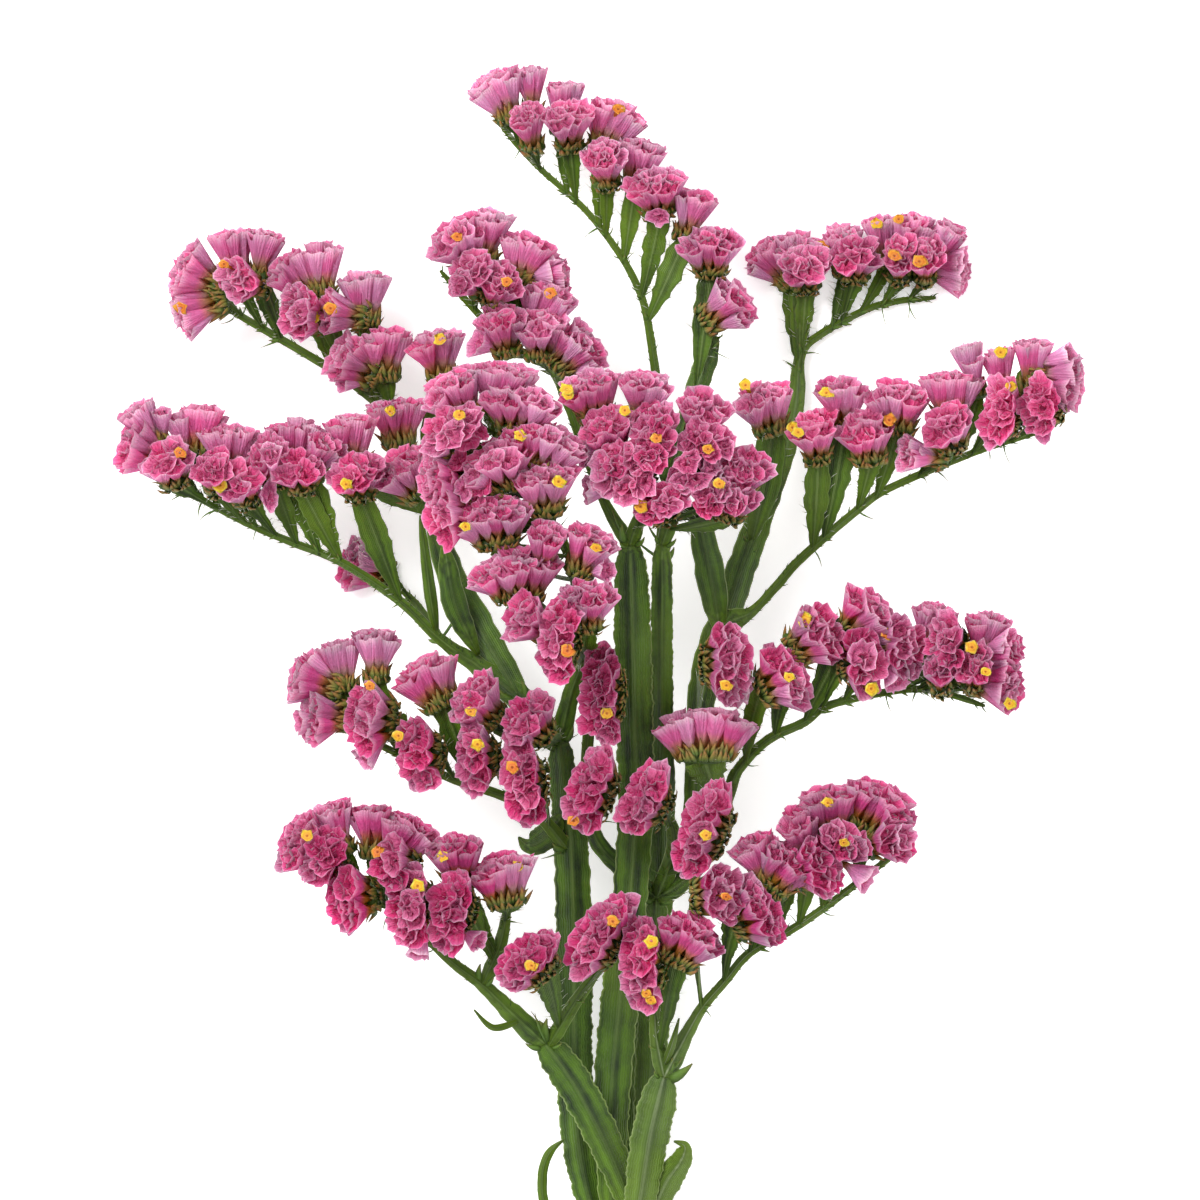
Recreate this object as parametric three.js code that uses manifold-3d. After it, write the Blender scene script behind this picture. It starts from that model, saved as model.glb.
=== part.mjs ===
// A bunch of dried statice (winged sea lavender, Limonium sinuatum): six winged stems held by a twine
// tie, lying on its back on a table. Each stem forks into arms, and each arm carries one-sided spikes:
// a short comb of papery pink cups in two ranks, standing in a green boat on a leafy stalk.
//
// Millimetres, +Z up, +Y from the cut ends to the heads. The layout below is drawn on a board of
// 1200 by 1200 squares of SQUARE mm seen from above, x to the right and y down; heights are in mm.

import * as THREE from 'three';
import { mergeVertices } from 'three/addons/utils/BufferGeometryUtils.js';
import Module from 'manifold-3d';

const wasm = await Module();
wasm.setup();

// ---------------------------------------------------------------- driving dimensions, mm

const SQUARE = 0.3;          // side of one square of the board
const BOARD_SIDE = 1200;     // squares along each side of the board
const GAP = 0.32;            // clearance between neighbouring nodes
const CRUMB = 0.06;          // joining leaves no edge shorter than this

const CUP_LENGTH = 12.5;     // one papery cup, from its foot in the boat to its rim
const CUP_PITCH = 13.5;      // one cup along the spike
const CUP_SHARE = 0.47;      // half a rim along the spike, as a share of the room it has
const CUP_ACROSS = 2.3;      // half a rim across the spike
const CUP_DEPTH = 3.2;       // how far the throat lies below the rim
const CUP_RUFFLE = 0.5;      // how far the rim's corners rise and fall
const RANK_FOOT = 1.5;       // half the width of the comb's foot, two cups side by side
const RANK_RIDGE = 0.9;      // how far the foot's middle line stands above its edges
const RANK_SPREAD = 2.45;    // a rim's middle, from the spike's middle
const RANK_ROOT = 0.4;       // where a cup starts, as a share of that
const COMB_ARCH = 0.16;      // how far a comb's ends drop, as a share of its length
const COMB_FOOT = 0.42;      // the foot's length, as a share of the comb's
const COMB_RIMS = 0.94;      // the span of the rims' middles, likewise
const FOOT_ARCH = 0.6;       // the share of the arch that the foot follows
const FOOT_BACK = 0.7;       // how much of a cup lies behind the place that its spike is given
const FACING_LIFT = 14;      // a spike that faces up stands this much above one that lies on its side

const BOAT_DEPTH = 3.2;      // the green boat that the comb stands in
const BOAT_WIDTH = 1.2;      // its width at the bottom
const BOAT_SHARE = 1.1;      // its length there, as a share of half the foot's
const STALK_THICK = 1;       // a leafy stalk is a blade that widens to the boat
const STALK_WIDE = 0.3;      // its width, as a share of its reach
const STALK_WIDEST = 8;
const STALK_LONG = 18;       // a longer stalk has a bend
const STALK_BEND = 0.62;     // where, as a share of the way from its root
const STALK_BACK = 0.85;     // how far down the arm a stalk starts, as a share of its reach
const STALK_SINK = 0.8;      // how far its tip is sunk in the arm

const WING_EDGE = 0.8;       // thickness of a stem's wing at its edge
const WING_WAVE = 0.09;      // how far the wing's edge waves, as a share of its width
const RIB_LEAST = 0.5;       // thickness of the rib of the narrowest stem
const RIB_SHARE = 0.42;      // what it gains with the stem's width
const RIB_MOST = 3.8;
const SLIM_ARM = 7.5;        // an arm that stays narrower has four edges and no wings
const STEM_STEPS = 2;        // pieces between two points of a stem's route
const ARM_STEPS = 1;
const ROOT_STEPS = 5;        // places between two of those where a stalk may leave

const TWINE = 2.1;           // thickness of the twine
const TIE_WRAPS = 5;         // turns of twine side by side
const TIE_SIDES = 16;
const TIE_AT = [628, 1283];  // middle of the tie on the board
const TIE_HEIGHT = 13.5;     // height of its middle
const TIE_HALF = [9.6, 9.0]; // inner half width and half height
const TIE_CREST = [0.95, 0.25]; // a turn's crest, outwards and from its edge, in thicknesses
const TIE_VALLEY = 0.6;      // the valley between two turns, likewise outwards

// ---------------------------------------------------------------- layout
// A route is a list of [x, y, height, width]. A stem runs from its cut end to its first fork, and each
// of its arms starts where it leaves the stem or an earlier arm.

const STEMS = {
  front_right: {
    route: [[540, 1575, 9, 5.4], [575, 1440, 13, 5.4], [628, 1283, 18.7, 4.7], [630, 1262, 20, 5],
      [640, 1205, 28, 9.5], [650, 1140, 35, 11.5], [664, 1078, 39, 10.5]],
    arms: [
      [[664, 1078, 39, 8], [684, 1040, 42, 4.6], [702, 1008, 45, 3.3], [724, 982, 47, 2.9],
        [750, 952, 49, 2.7], [790, 930, 50, 2.6], [830, 903, 51, 2.4], [870, 872, 52, 2.2], [905, 845, 53, 1.8]],
      [[664, 1078, 39, 6], [656, 1035, 44, 4], [655, 1000, 46, 3]],
    ],
    leaves: [
      [[664, 1066, 40, 2.6], [672, 1045, 45, 2.2], [679, 1018, 47, 1]],
      [[629, 1240, 22, 3], [652, 1215, 24, 7], [667, 1184, 27, 9], [681, 1163, 31, 6.5], [685, 1148, 34, 3.6],
        [674, 1143, 33, 1.2]],
    ],
  },
  front_left: {
    route: [[722, 1560, 10, 5.4], [690, 1430, 12.5, 5.4], [643, 1283, 16.1, 4.7], [642, 1262, 17, 5],
      [630, 1205, 22.5, 8.5], [602, 1138, 29, 10.5], [572, 1082, 33, 11], [545, 1045, 36, 10]],
    arms: [
      [[545, 1045, 36, 8], [512, 1014, 39, 6], [482, 985, 42, 4], [452, 962, 45, 3.1], [425, 936, 47, 2.8],
        [398, 915, 48, 2.5], [372, 893, 49, 2.2], [340, 878, 50, 1.8]],
      [[482, 985, 42, 4], [500, 945, 46, 4], [508, 905, 48, 3]],
      [[548, 1048, 36, 5], [575, 1003, 42, 4], [600, 968, 45, 3]],
    ],
    leaves: [[[518, 1022, 39, 2.6], [493, 1028, 42, 2], [474, 1010, 43, 1]]],
  },
  centre: {
    route: [[640, 1590, 13.5, 5.4], [624, 1440, 15.5, 5.4], [613, 1283, 16.1, 4.7], [613, 1262, 16.6, 5],
      [612, 1205, 18.5, 8], [612, 1100, 23, 11], [620, 1000, 27, 11.5], [630, 900, 32, 10.5],
      [636, 800, 36, 11], [634, 700, 41, 11.5], [632, 610, 46, 11], [630, 545, 50, 9]],
    arms: [
      [[630, 545, 50, 7], [640, 515, 55, 3.4], [650, 480, 60, 3], [655, 440, 62, 2.4]],
      [[630, 545, 50, 6], [606, 505, 47, 3.2], [586, 455, 44, 3], [568, 405, 42, 2.8], [548, 365, 41, 2.6],
        [510, 345, 41, 2.4], [475, 310, 41, 2.2], [440, 270, 40, 1.8]],
    ],
  },
  left: {
    route: [[578, 1585, 4, 5.4], [594, 1440, 6.5, 5.4], [613, 1283, 10.9, 4.7], [611, 1262, 11, 5],
      [590, 1205, 12, 8.5], [578, 1140, 15, 10.5], [574, 1050, 19, 11], [574, 950, 24, 11],
      [571, 850, 29, 10.5], [564, 790, 32, 8.5], [560, 740, 34, 7.5]],
    arms: [
      [[560, 740, 34, 7], [572, 690, 40, 5], [588, 640, 50, 4], [580, 580, 60, 3.4], [550, 520, 67, 3],
        [515, 465, 70, 2.7], [485, 415, 70, 2.3]],
      [[568, 850, 29, 5], [535, 812, 38, 3.4], [500, 795, 43, 3], [455, 780, 46, 2.7], [415, 762, 47, 2.4],
        [380, 745, 47, 2.2], [340, 728, 46, 1.8]],
      [[560, 745, 34, 7], [520, 700, 32, 8], [480, 668, 30, 6], [440, 640, 29, 3.6], [400, 602, 28, 3],
        [340, 562, 27, 2.6], [285, 540, 26, 2.4], [235, 518, 26, 2.1], [150, 472, 25, 1.8], [128, 458, 24, 1.6]],
      [[520, 700, 32, 8], [480, 630, 27, 9.5], [448, 570, 23, 8.5], [428, 500, 21, 5], [405, 440, 20, 3.4],
        [375, 402, 20, 2.9], [330, 368, 20, 2.7], [245, 318, 19, 2.3], [215, 300, 18, 1.9]],
      [[440, 640, 29, 3], [428, 622, 17, 2.6], [412, 602, 7, 2.4], [396, 587, 3.2, 2]],
    ],
    leaves: [
      [[606, 1262, 11, 3], [566, 1244, 12, 3], [545, 1212, 14, 3], [542, 1180, 16, 3], [549, 1157, 19, 2.6],
        [564, 1143, 21, 1]],
      [[566, 812, 31, 3], [545, 838, 30, 8], [528, 846, 30, 6], [518, 838, 29, 1.4]],
      [[478, 655, 30, 3], [455, 605, 35, 7.6], [444, 545, 37, 4]],
      [[436, 634, 28, 2.4], [429, 590, 32, 3.8], [420, 515, 35, 1.8]],
    ],
  },
  right: {
    route: [[690, 1555, 4, 5.4], [664, 1430, 6.5, 5.4], [643, 1283, 10.9, 4.7], [644, 1262, 11, 5],
      [648, 1205, 12, 7.6], [650, 1100, 14, 9.5], [655, 1000, 17, 9.5], [656, 930, 20, 8], [657, 900, 22, 7]],
    arms: [
      [[657, 900, 22, 7], [688, 878, 26, 6], [714, 838, 30, 5], [730, 790, 35, 4.2], [740, 768, 38, 3.4],
        [768, 740, 41, 3], [805, 722, 43, 2.8], [830, 705, 44, 2.5], [900, 690, 46, 2.3],
        [940, 692, 46, 2.1], [985, 706, 46, 1.8]],
      [[688, 878, 26, 6], [694, 800, 27, 6], [697, 740, 28, 7], [704, 690, 29, 9], [722, 630, 30, 10],
        [752, 612, 31, 3.4], [778, 585, 32, 2.9], [802, 558, 32, 2.8], [858, 510, 32, 2.6], [890, 488, 32, 2.4],
        [965, 456, 32, 2.2], [1005, 442, 32, 2], [1045, 430, 32, 1.8]],
      [[722, 630, 30, 9], [738, 580, 24, 9.5], [760, 520, 18, 8], [785, 455, 10, 6.4], [798, 400, 6, 5.6],
        [803, 352, 4, 3.2], [825, 330, 2.4, 2.5], [872, 305, 2, 2.2], [905, 297, 2, 2],
        [940, 294, 2, 1.8]],
      [[657, 900, 22, 6], [625, 872, 24, 6], [597, 842, 27, 5], [588, 800, 34, 4], [588, 740, 40, 3.6],
        [596, 690, 42, 3]],
      [[657, 900, 22, 6], [672, 860, 30, 5], [673, 830, 39, 4], [662, 812, 44, 3.4]],
    ],
    leaves: [[[720, 632, 31, 5], [712, 580, 35, 9], [697, 508, 39, 6]]],
  },
  back: {
    route: [[612, 1602, 1.25, 5.4], [620, 1440, 3, 5.4], [628, 1283, 8.3, 4.7], [628, 1262, 8.3, 5],
      [632, 1205, 8.6, 8], [640, 1100, 9.5, 9.5], [652, 1000, 12, 9], [660, 900, 17, 8], [663, 800, 25, 7.6],
      [662, 700, 33, 7], [662, 610, 42, 6.5], [662, 545, 49, 6]],
    arms: [
      [[662, 545, 49, 6], [677, 505, 56, 3.6], [695, 470, 60, 3], [705, 435, 60, 2.4]],
      [[662, 560, 47, 5], [668, 480, 36, 4.5], [662, 420, 28, 3.6], [656, 372, 24, 2.8], [648, 320, 23, 2.4],
        [640, 290, 22, 2.3], [620, 252, 22, 2.2], [585, 207, 21, 2],
        [540, 166, 21, 1.8], [515, 140, 20, 1.7], [492, 110, 20, 1.6]],
      [[668, 480, 36, 4], [686, 420, 28, 5], [703, 370, 24, 7], [716, 334, 23, 5]],
    ],
  },
};

// A spray is the spikes of one arm. A spike is [x, y, length, facing, rise, lift]: the middle of its
// cups on the board, its length in mm, the way its cups open on the board in degrees from +X, how far
// that way rises towards +Z in degrees, and its height above the spray's.

const SPRAYS = {
  top: {
    stem: 'back', height: 24,
    spikes: [[497, 85, 14, 115, 15], [532, 78, 8, 90, 5], [528, 120, 10, 100, 40], [564, 94, 12, 88, 5],
      [568, 120, 14, 95, 45], [615, 115, 18, 72, 15], [605, 160, 12, 95, 50], [641, 152, 14, 80, 15],
      [656, 186, 17, 100, 45], [694, 204, 12, 75, 20], [712, 246, 18, 88, 45], [732, 303, 16, 35, 30]],
  },
  upper_left: {
    stem: 'left', height: 23,
    spikes: [[188, 266, 15, 150, 20], [187, 307, 14, 195, 10], [230, 243, 13, 100, 5], [263, 244, 10, 78, 5],
      [241, 280, 12, 170, 55], [285, 271, 14, 130, 15], [322, 258, 13, 90, 10], [300, 312, 17, 172, 50],
      [333, 311, 14, 170, 30], [363, 287, 14, 92, 10], [346, 360, 15, 150, 30], [383, 343, 15, 92, 15],
      [436, 345, 15, 100, 20], [395, 412, 17, 95, 20]],
  },
  upper_centre: {
    stem: 'centre', height: 46,
    spikes: [[458, 240, 18, 120, 40], [490, 228, 12, 82, 15], [530, 252, 18, 70, 15], [472, 276, 15, 130, 60],
      [500, 286, 12, 70, 55], [553, 276, 8, 5, 10], [547, 299, 17, 75, 20], [502, 326, 13, 100, 40],
      [540, 330, 15, 90, 40], [580, 347, 18, 48, 30]],
  },
  upper_right: {
    stem: 'right', height: 1.2,
    spikes: [[768, 254, 12, 135, 15], [800, 247, 19, 95, 20], [807, 266, 15, 95, 60], [846, 237, 12, 95, 20],
      [858, 256, 15, 90, 60], [885, 227, 12, 100, 15], [916, 226, 12, 80, 15], [902, 257, 10, 90, 60],
      [930, 256, 10, 85, 55], [953, 237, 10, 60, 15], [956, 267, 12, -8, 15]],
  },
  left: {
    stem: 'left', height: 31,
    spikes: [[142, 416, 12, 118, 10], [134, 446, 16, 158, 25], [195, 422, 19, 93, 5], [168, 463, 16, 108, 55],
      [229, 440, 17, 90, 15], [212, 472, 10, 100, 60], [241, 482, 15, 112, 55], [293, 435, 17, 88, 5],
      [270, 458, 12, 100, 45], [300, 470, 15, 95, 60], [325, 450, 12, 60, 35], [352, 431, 15, 90, 16],
      [358, 477, 16, 95, 60], [403, 469, 18, 125, 30], [356, 566, 15, 165, 30, -32.7]],
  },
  front_centre: {
    stem: 'left', height: 73,
    spikes: [[455, 392, 18, 115, 30], [505, 380, 19, 80, 20], [522, 405, 23, 80, 35], [452, 435, 20, 125, 65],
      [545, 442, 26, 75, 35], [497, 466, 21, 115, 45], [440, 480, 15, 175, 30], [448, 518, 16, 185, 40],
      [545, 483, 19, 95, 35], [494, 517, 25, 100, 40], [517, 569, 26, 95, 33], [547, 542, 12, 80, 35],
      [590, 545, 15, 68, 30], [588, 600, 17, 85, 40], [560, 640, 25, 170, 70], [526, 619, 14, 150, 40]],
  },
  centre: {
    stem: 'centre', height: 66,
    spikes: [[592, 390, 18, 100, 30], [645, 390, 15, 85, 30], [607, 432, 17, 110, 45],
      [615, 470, 15, 150, 60],
      [654, 426, 14, 98, 50], [648, 456, 17, 105, 75], [636, 482, 15, 150, 75], [660, 508, 16, 112, 75]],
  },
  centre_right: {
    stem: 'back', height: 66,
    spikes: [[702, 414, 15, 82, 45], [706, 446, 17, 78, 75], [694, 474, 16, 90, 85], [711, 502, 13, 78, 80],
      [743, 470, 17, 75, 50], [735, 500, 14, 70, 60]],
  },
  right: {
    stem: 'right', height: 38,
    spikes: [[764, 402, 17, 105, 32], [814, 433, 14, 100, 42], [842, 395, 15, 95, 20],
      [867, 433, 17, 98, 40],
      [900, 400, 18, 85, 30], [953, 386, 18, 90, 15], [970, 360, 8, 105, 0], [948, 430, 15, 110, 60],
      [914, 455, 9, 175, 30], [1000, 412, 20, 165, 60], [1001, 364, 9, 95, 5], [1032, 355, 11, 88, 10],
      [1066, 377, 20, 0, 20], [1040, 408, 17, 175, 62]],
  },
  lower_left: {
    stem: 'left', height: 50,
    spikes: [[308, 677, 14, 160, 15], [340, 655, 12, 100, 5], [377, 645, 12, 90, 10], [318, 716, 15, 178, 30],
      [368, 718, 22, 175, 45], [427, 674, 20, 118, 15], [419, 753, 22, 180, 60], [476, 700, 17, 135, 40],
      [475, 757, 22, 178, 60], [528, 719, 17, 132, 50], [524, 783, 26, 185, 62]],
  },
  lower_right: {
    stem: 'right', height: 50,
    spikes: [[705, 723, 31, 90, 0], [728, 663, 24, 0, 55], [787, 677, 20, 27, 40], [818, 635, 20, 34, 38],
      [872, 614, 21, 42, 30], [862, 661, 20, 2, 60], [901, 648, 18, 2, 50], [935, 620, 13, 80, 15],
      [946, 642, 15, 170, 66], [940, 672, 9, 90, 60], [985, 628, 12, 80, 15], [1003, 652, 12, 10, 25],
      [973, 668, 11, 90, 60], [1002, 686, 14, -8, 30]],
  },
  front_left: {
    stem: 'front_left', height: 53,
    spikes: [[302, 842, 18, 150, 35], [335, 818, 11, 108, 15], [376, 820, 16, 90, 10],
      [326, 858, 18, 140, 65],
      [349, 896, 20, 183, 45], [410, 832, 18, 62, 20], [394, 862, 15, 178, 55], [410, 903, 24, 180, 62],
      [458, 852, 17, 95, 30], [453, 910, 25, 165, 65], [501, 871, 20, 102, 22], [529, 958, 23, 138, 56]],
  },
  front_right: {
    stem: 'front_right', height: 56,
    spikes: [[690, 933, 21, 62, 30], [720, 893, 18, 8, 50], [760, 911, 22, 25, 42], [758, 850, 14, 110, 20],
      [788, 863, 18, 55, 30], [816, 866, 18, 18, 50], [800, 826, 12, 110, 30], [830, 802, 18, 100, 20],
      [882, 803, 23, 58, 25], [843, 842, 15, 45, 60], [890, 840, 12, 15, 50]],
  },
  middle: {
    stem: 'right', height: 50,
    spikes: [[602, 694, 30, 178, 65], [591, 788, 27, 162, 60], [645, 800, 23, 152, 60],
      [702, 826, 32, 158, 55]],
  },
  low_left: { stem: 'front_left', height: 53, spikes: [[598, 932, 30, 144, 50]] },
  low_centre: { stem: 'front_right', height: 52, spikes: [[643, 962, 28, 178, 65]] },
};

// ---------------------------------------------------------------- small tools

const degrees = (angle) => angle * Math.PI / 180;
const vector = (x, y, z) => new THREE.Vector3(x, y, z);
const onBoard = (x, y, z) => vector((x - BOARD_SIDE / 2) * SQUARE, (BOARD_SIDE - y) * SQUARE, z);

// A repeatable draw from 0 to 1 for the number k.
function draw(k) {
  const wave = Math.sin(k * 12.9898 + 4.1) * 43758.5453;
  return wave - Math.floor(wave);
}

// A closed mesh from its points and triangles, as a solid.
function solid(points, faces) {
  const geometry = new THREE.BufferGeometry();
  geometry.setAttribute('position', new THREE.Float32BufferAttribute(points.flatMap((p) => p.toArray()), 3));
  geometry.setIndex(faces.flat());
  const merged = mergeVertices(geometry, 1e-4);
  return new wasm.Manifold(new wasm.Mesh({
    numProp: 3,
    vertProperties: new Float32Array(merged.attributes.position.array),
    triVerts: new Uint32Array(merged.index.array),
  }));
}

const joined = (solids) => wasm.Manifold.union(solids);

function meshOf(name, shape, material) {
  const mesh = shape.getMesh();
  const geometry = new THREE.BufferGeometry();
  geometry.setAttribute('position', new THREE.BufferAttribute(new Float32Array(mesh.vertProperties), 3));
  geometry.setIndex(new THREE.BufferAttribute(new Uint32Array(mesh.triVerts), 1));
  geometry.computeVertexNormals();
  const result = new THREE.Mesh(geometry, material);
  result.name = name;
  return result;
}

// Rings of equal length, lofted one to the next and closed at both ends.
function loft(rings) {
  const points = rings.flat();
  const sides = rings[0].length;
  const faces = [];
  for (let ring = 0; ring < rings.length - 1; ring += 1) {
    for (let side = 0; side < sides; side += 1) {
      const a = ring * sides + side;
      const b = ring * sides + (side + 1) % sides;
      faces.push([a, b, b + sides], [a, b + sides, a + sides]);
    }
  }
  const last = (rings.length - 1) * sides;
  for (let side = 1; side < sides - 1; side += 1) {
    faces.push([0, side + 1, side], [last, last + side, last + side + 1]);
  }
  return solid(points, faces);
}

// ---------------------------------------------------------------- routes

// A smooth route through rows of numbers (Catmull-Rom), with `steps` pieces between two rows.
function smooth(rows, steps) {
  const result = [];
  for (let i = 0; i < rows.length - 1; i += 1) {
    const [before, from, to, after] = [rows[Math.max(i - 1, 0)], rows[i], rows[i + 1],
      rows[Math.min(i + 2, rows.length - 1)]];
    for (let step = 0; step < steps; step += 1) {
      const t = step / steps;
      result.push(from.map((value, k) => value
        + 0.5 * t * (to[k] - before[k]
        + t * (2 * before[k] - 5 * value + 4 * to[k] - after[k]
        + t * (3 * (value - to[k]) + after[k] - before[k])))));
    }
  }
  result.push(rows[rows.length - 1]);
  return result;
}

// A stem or arm: a strap with a rib along its middle and waved wings, lying flat on its route.
function strap(rows, steps, grow, seed) {
  const stops = smooth(rows, steps);
  const places = stops.map(([x, y, z]) => onBoard(x, y, z));
  const slim = Math.max(...rows.map(([, , , width]) => width)) < SLIM_ARM;
  const rings = stops.map(([, , , width], i) => {
    const ahead = places[Math.min(i + 1, places.length - 1)];
    const behind = places[Math.max(i - 1, 0)];
    const way = ahead.clone().sub(behind).normalize();
    const side = vector(way.y, -way.x, 0).normalize();
    const up = side.clone().cross(way);
    const rib = Math.min(width * RIB_SHARE + RIB_LEAST, RIB_MOST) / 2 + grow;
    const edge = WING_EDGE / 2 + grow;
    const waves = [0, 1].map((k) => 1 + WING_WAVE * (2 * draw(seed + 7 * i + k) - 1));
    const corner = (s, half) => places[i].clone()
      .addScaledVector(side, s * (width / 2 * (s > 0 ? waves[0] : waves[1]) + grow) * (s !== 0))
      .addScaledVector(up, half);
    return slim ? [corner(-1, 0), corner(0, -rib), corner(1, 0), corner(0, rib)]
      : [corner(-1, -edge), corner(0, -rib), corner(1, -edge), corner(1, edge), corner(0, rib),
        corner(-1, edge)];
  });
  const first = places[1].clone().sub(places[0]).setLength(grow);
  rings[0].forEach((point) => point.sub(first));
  return loft(rings.map((ring) => ring.reverse()));
}

// The stops of the arms that a spray's stalks may grow from, in order from root to tip.
const armStops = (stem) => STEMS[stem].arms.map((rows) => {
  const places = smooth(rows, ARM_STEPS).map(([x, y, z]) => onBoard(x, y, z));
  return places.flatMap((place, i) => (i === 0 ? [place]
    : Array.from({ length: ROOT_STEPS }, (_, k) => places[i - 1].clone().lerp(place, (k + 1) / ROOT_STEPS))));
});

// ---------------------------------------------------------------- spikes

// Where a spike stands: its length, its directions along and across, and the place that lies u along, v
// across and w out from the middle of its foot.
function spikeFrame([x, y, length, facing, rise, lift = 0], height) {
  const out = vector(Math.cos(degrees(facing)) * Math.cos(degrees(rise)),
    Math.sin(degrees(facing)) * Math.cos(degrees(rise)), Math.sin(degrees(rise)));
  const along = vector(Math.sin(degrees(facing)), -Math.cos(degrees(facing)), 0);
  const across = out.clone().cross(along);
  const middle = onBoard(x, y, height + FACING_LIFT * Math.sin(degrees(rise)) + lift);
  const foot = middle.clone().addScaledVector(out, -CUP_LENGTH * FOOT_BACK);
  const place = (u, v, w) => foot.clone().addScaledVector(along, u).addScaledVector(across, v)
    .addScaledVector(out, w);
  return { length, along, across, place };
}

// The place on the nearest arm, a little way down it, where a spike's stalk leaves.
function stalkRoot(base, arms) {
  let nearest = { gap: Infinity };
  arms.forEach((stops) => stops.forEach((stop, i) => {
    const gap = stop.distanceTo(base);
    if (gap < nearest.gap) nearest = { gap, stops, i };
  }));
  const { gap, stops } = nearest;
  let { i } = nearest;
  for (let back = gap * STALK_BACK; i > 0 && back > 0; i -= 1) back -= stops[i].distanceTo(stops[i - 1]);
  return { root: stops[i], reach: gap };
}

// One spike, one closed mesh. Two ranks of cells on a slim foot each grow out into an open cup whose
// throat is sunk, so the cups share their roots and stand apart at their rims. Below the foot the green
// boat narrows to a leafy stalk, whose tip is sunk in the arm.
function spike(row, height, arms, grow, seed) {
  const { length, along, across, place } = spikeFrame(row, height);
  const cells = Math.max(1, Math.round(length / CUP_PITCH));
  const reach = length * COMB_FOOT / 2;
  const drop = (u) => COMB_ARCH * length * (2 * u / length) ** 2;
  const points = [];
  const faces = [];
  const add = (point) => points.push(point) - 1;

  const lines = [-1, 0, 1].map((rank) => Array.from({ length: cells + 1 }, (_, i) => {
    const u = reach * (2 * i / cells - 1);
    const spread = 1 + grow / reach;
    const rise = (rank === 0 ? RANK_RIDGE : 0) - drop(u) * FOOT_ARCH;
    return add(place(u * spread, rank * (RANK_FOOT + grow), rise));
  }));
  for (let i = 0; i < cells; i += 1) {
    for (let rank = 0; rank < 2; rank += 1) {
      const cell = [lines[rank][i], lines[rank][i + 1], lines[rank + 1][i + 1], lines[rank + 1][i]];
      const u = ((i + 0.5) / cells - 0.5) * length;
      const v = (2 * rank - 1) * RANK_SPREAD;
      const rim = vector(u * COMB_RIMS, v, CUP_LENGTH + grow - drop(u));
      const way = rim.clone().sub(vector(u * COMB_FOOT, v * RANK_ROOT, 0)).normalize();
      const e1 = vector(way.z, 0, -way.x).normalize().multiplyScalar(CUP_SHARE * length / cells + grow);
      const e2 = way.clone().cross(e1).setLength(CUP_ACROSS + grow);
      const corners = [[-1, -1], [1, -1], [1, 1], [-1, 1]].map(([s, t], k) => {
        const wave = CUP_RUFFLE * (2 * draw(seed + 11 * i + 5 * rank + k) - 1);
        const p = rim.clone().addScaledVector(e1, s).addScaledVector(e2, t).addScaledVector(way, wave);
        return add(place(p.x, p.y, p.z));
      });
      const low = rim.clone().addScaledVector(way, grow === 0 ? -CUP_DEPTH : 0);
      const throat = add(place(low.x, low.y, low.z));
      for (let k = 0; k < 4; k += 1) {
        const next = (k + 1) % 4;
        faces.push([cell[k], cell[next], corners[next]], [cell[k], corners[next], corners[k]],
          [corners[k], corners[next], throat]);
      }
    }
  }

  // The boat: from the foot's outline down to a small ring, and on to the stalk's tip.
  const bottom = -BOAT_DEPTH - drop(reach) * FOOT_ARCH;
  const base = place(0, 0, bottom);
  const { root, reach: gap } = stalkRoot(base, arms);
  const ringAt = (middle, wide, thick, u, v) => [[-1, -1], [1, -1], [1, 1], [-1, 1]].map(([s, t]) => add(
    middle.clone().addScaledVector(u, s * (wide / 2 + grow)).addScaledVector(v, t * (thick / 2 + grow))));
  const hull = ringAt(base, reach * BOAT_SHARE, BOAT_WIDTH, along, across);
  const half = Math.floor(cells / 2);
  for (let i = 0; i < cells; i += 1) {
    const [left, right] = i < half ? [hull[0], hull[3]] : [hull[1], hull[2]];
    faces.push([lines[0][i + 1], lines[0][i], left], [lines[2][i], lines[2][i + 1], right]);
  }
  faces.push([lines[0][half], hull[0], hull[1]], [lines[2][half], hull[2], hull[3]]);
  faces.push([lines[0][0], lines[1][0], hull[0]], [lines[1][0], lines[2][0], hull[3]],
    [lines[1][0], hull[3], hull[0]]);
  faces.push([lines[2][cells], lines[1][cells], hull[2]], [lines[1][cells], lines[0][cells], hull[1]],
    [lines[1][cells], hull[1], hull[2]]);

  let last = hull;
  if (gap > STALK_LONG) {
    const middle = root.clone().lerp(base, STALK_BEND);
    last = ringAt(middle, Math.min(gap * STALK_WIDE, STALK_WIDEST), STALK_THICK, along, across);
    for (let k = 0; k < 4; k += 1) {
      const next = (k + 1) % 4;
      faces.push([last[k], last[next], hull[next]], [last[k], hull[next], hull[k]]);
    }
  }
  const way = base.clone().sub(root).normalize();
  const tip = add(root.clone().addScaledVector(way, -STALK_SINK));
  for (let k = 0; k < 4; k += 1) faces.push([tip, last[(k + 1) % 4], last[k]]);
  return solid(points, faces);
}

// ---------------------------------------------------------------- nodes

// A stem with its arms and all the spikes of its sprays, grown as one piece.
function floweringStem(name, grow) {
  const { route, arms, leaves = [] } = STEMS[name];
  const seed = 100 * Object.keys(STEMS).indexOf(name);
  const parts = [strap(route, STEM_STEPS, grow, seed)];
  arms.forEach((rows, k) => parts.push(strap(rows, ARM_STEPS, grow, seed + 13 * k)));
  leaves.forEach((rows, k) => parts.push(strap(rows, ARM_STEPS, grow, seed + 17 * k)));
  const stops = armStops(name);
  Object.values(SPRAYS).filter((spray) => spray.stem === name).forEach(({ height, spikes }) => {
    spikes.forEach((row, k) => parts.push(spike(row, height, stops, grow, seed + 50 * k)));
  });
  return joined(parts);
}

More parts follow.
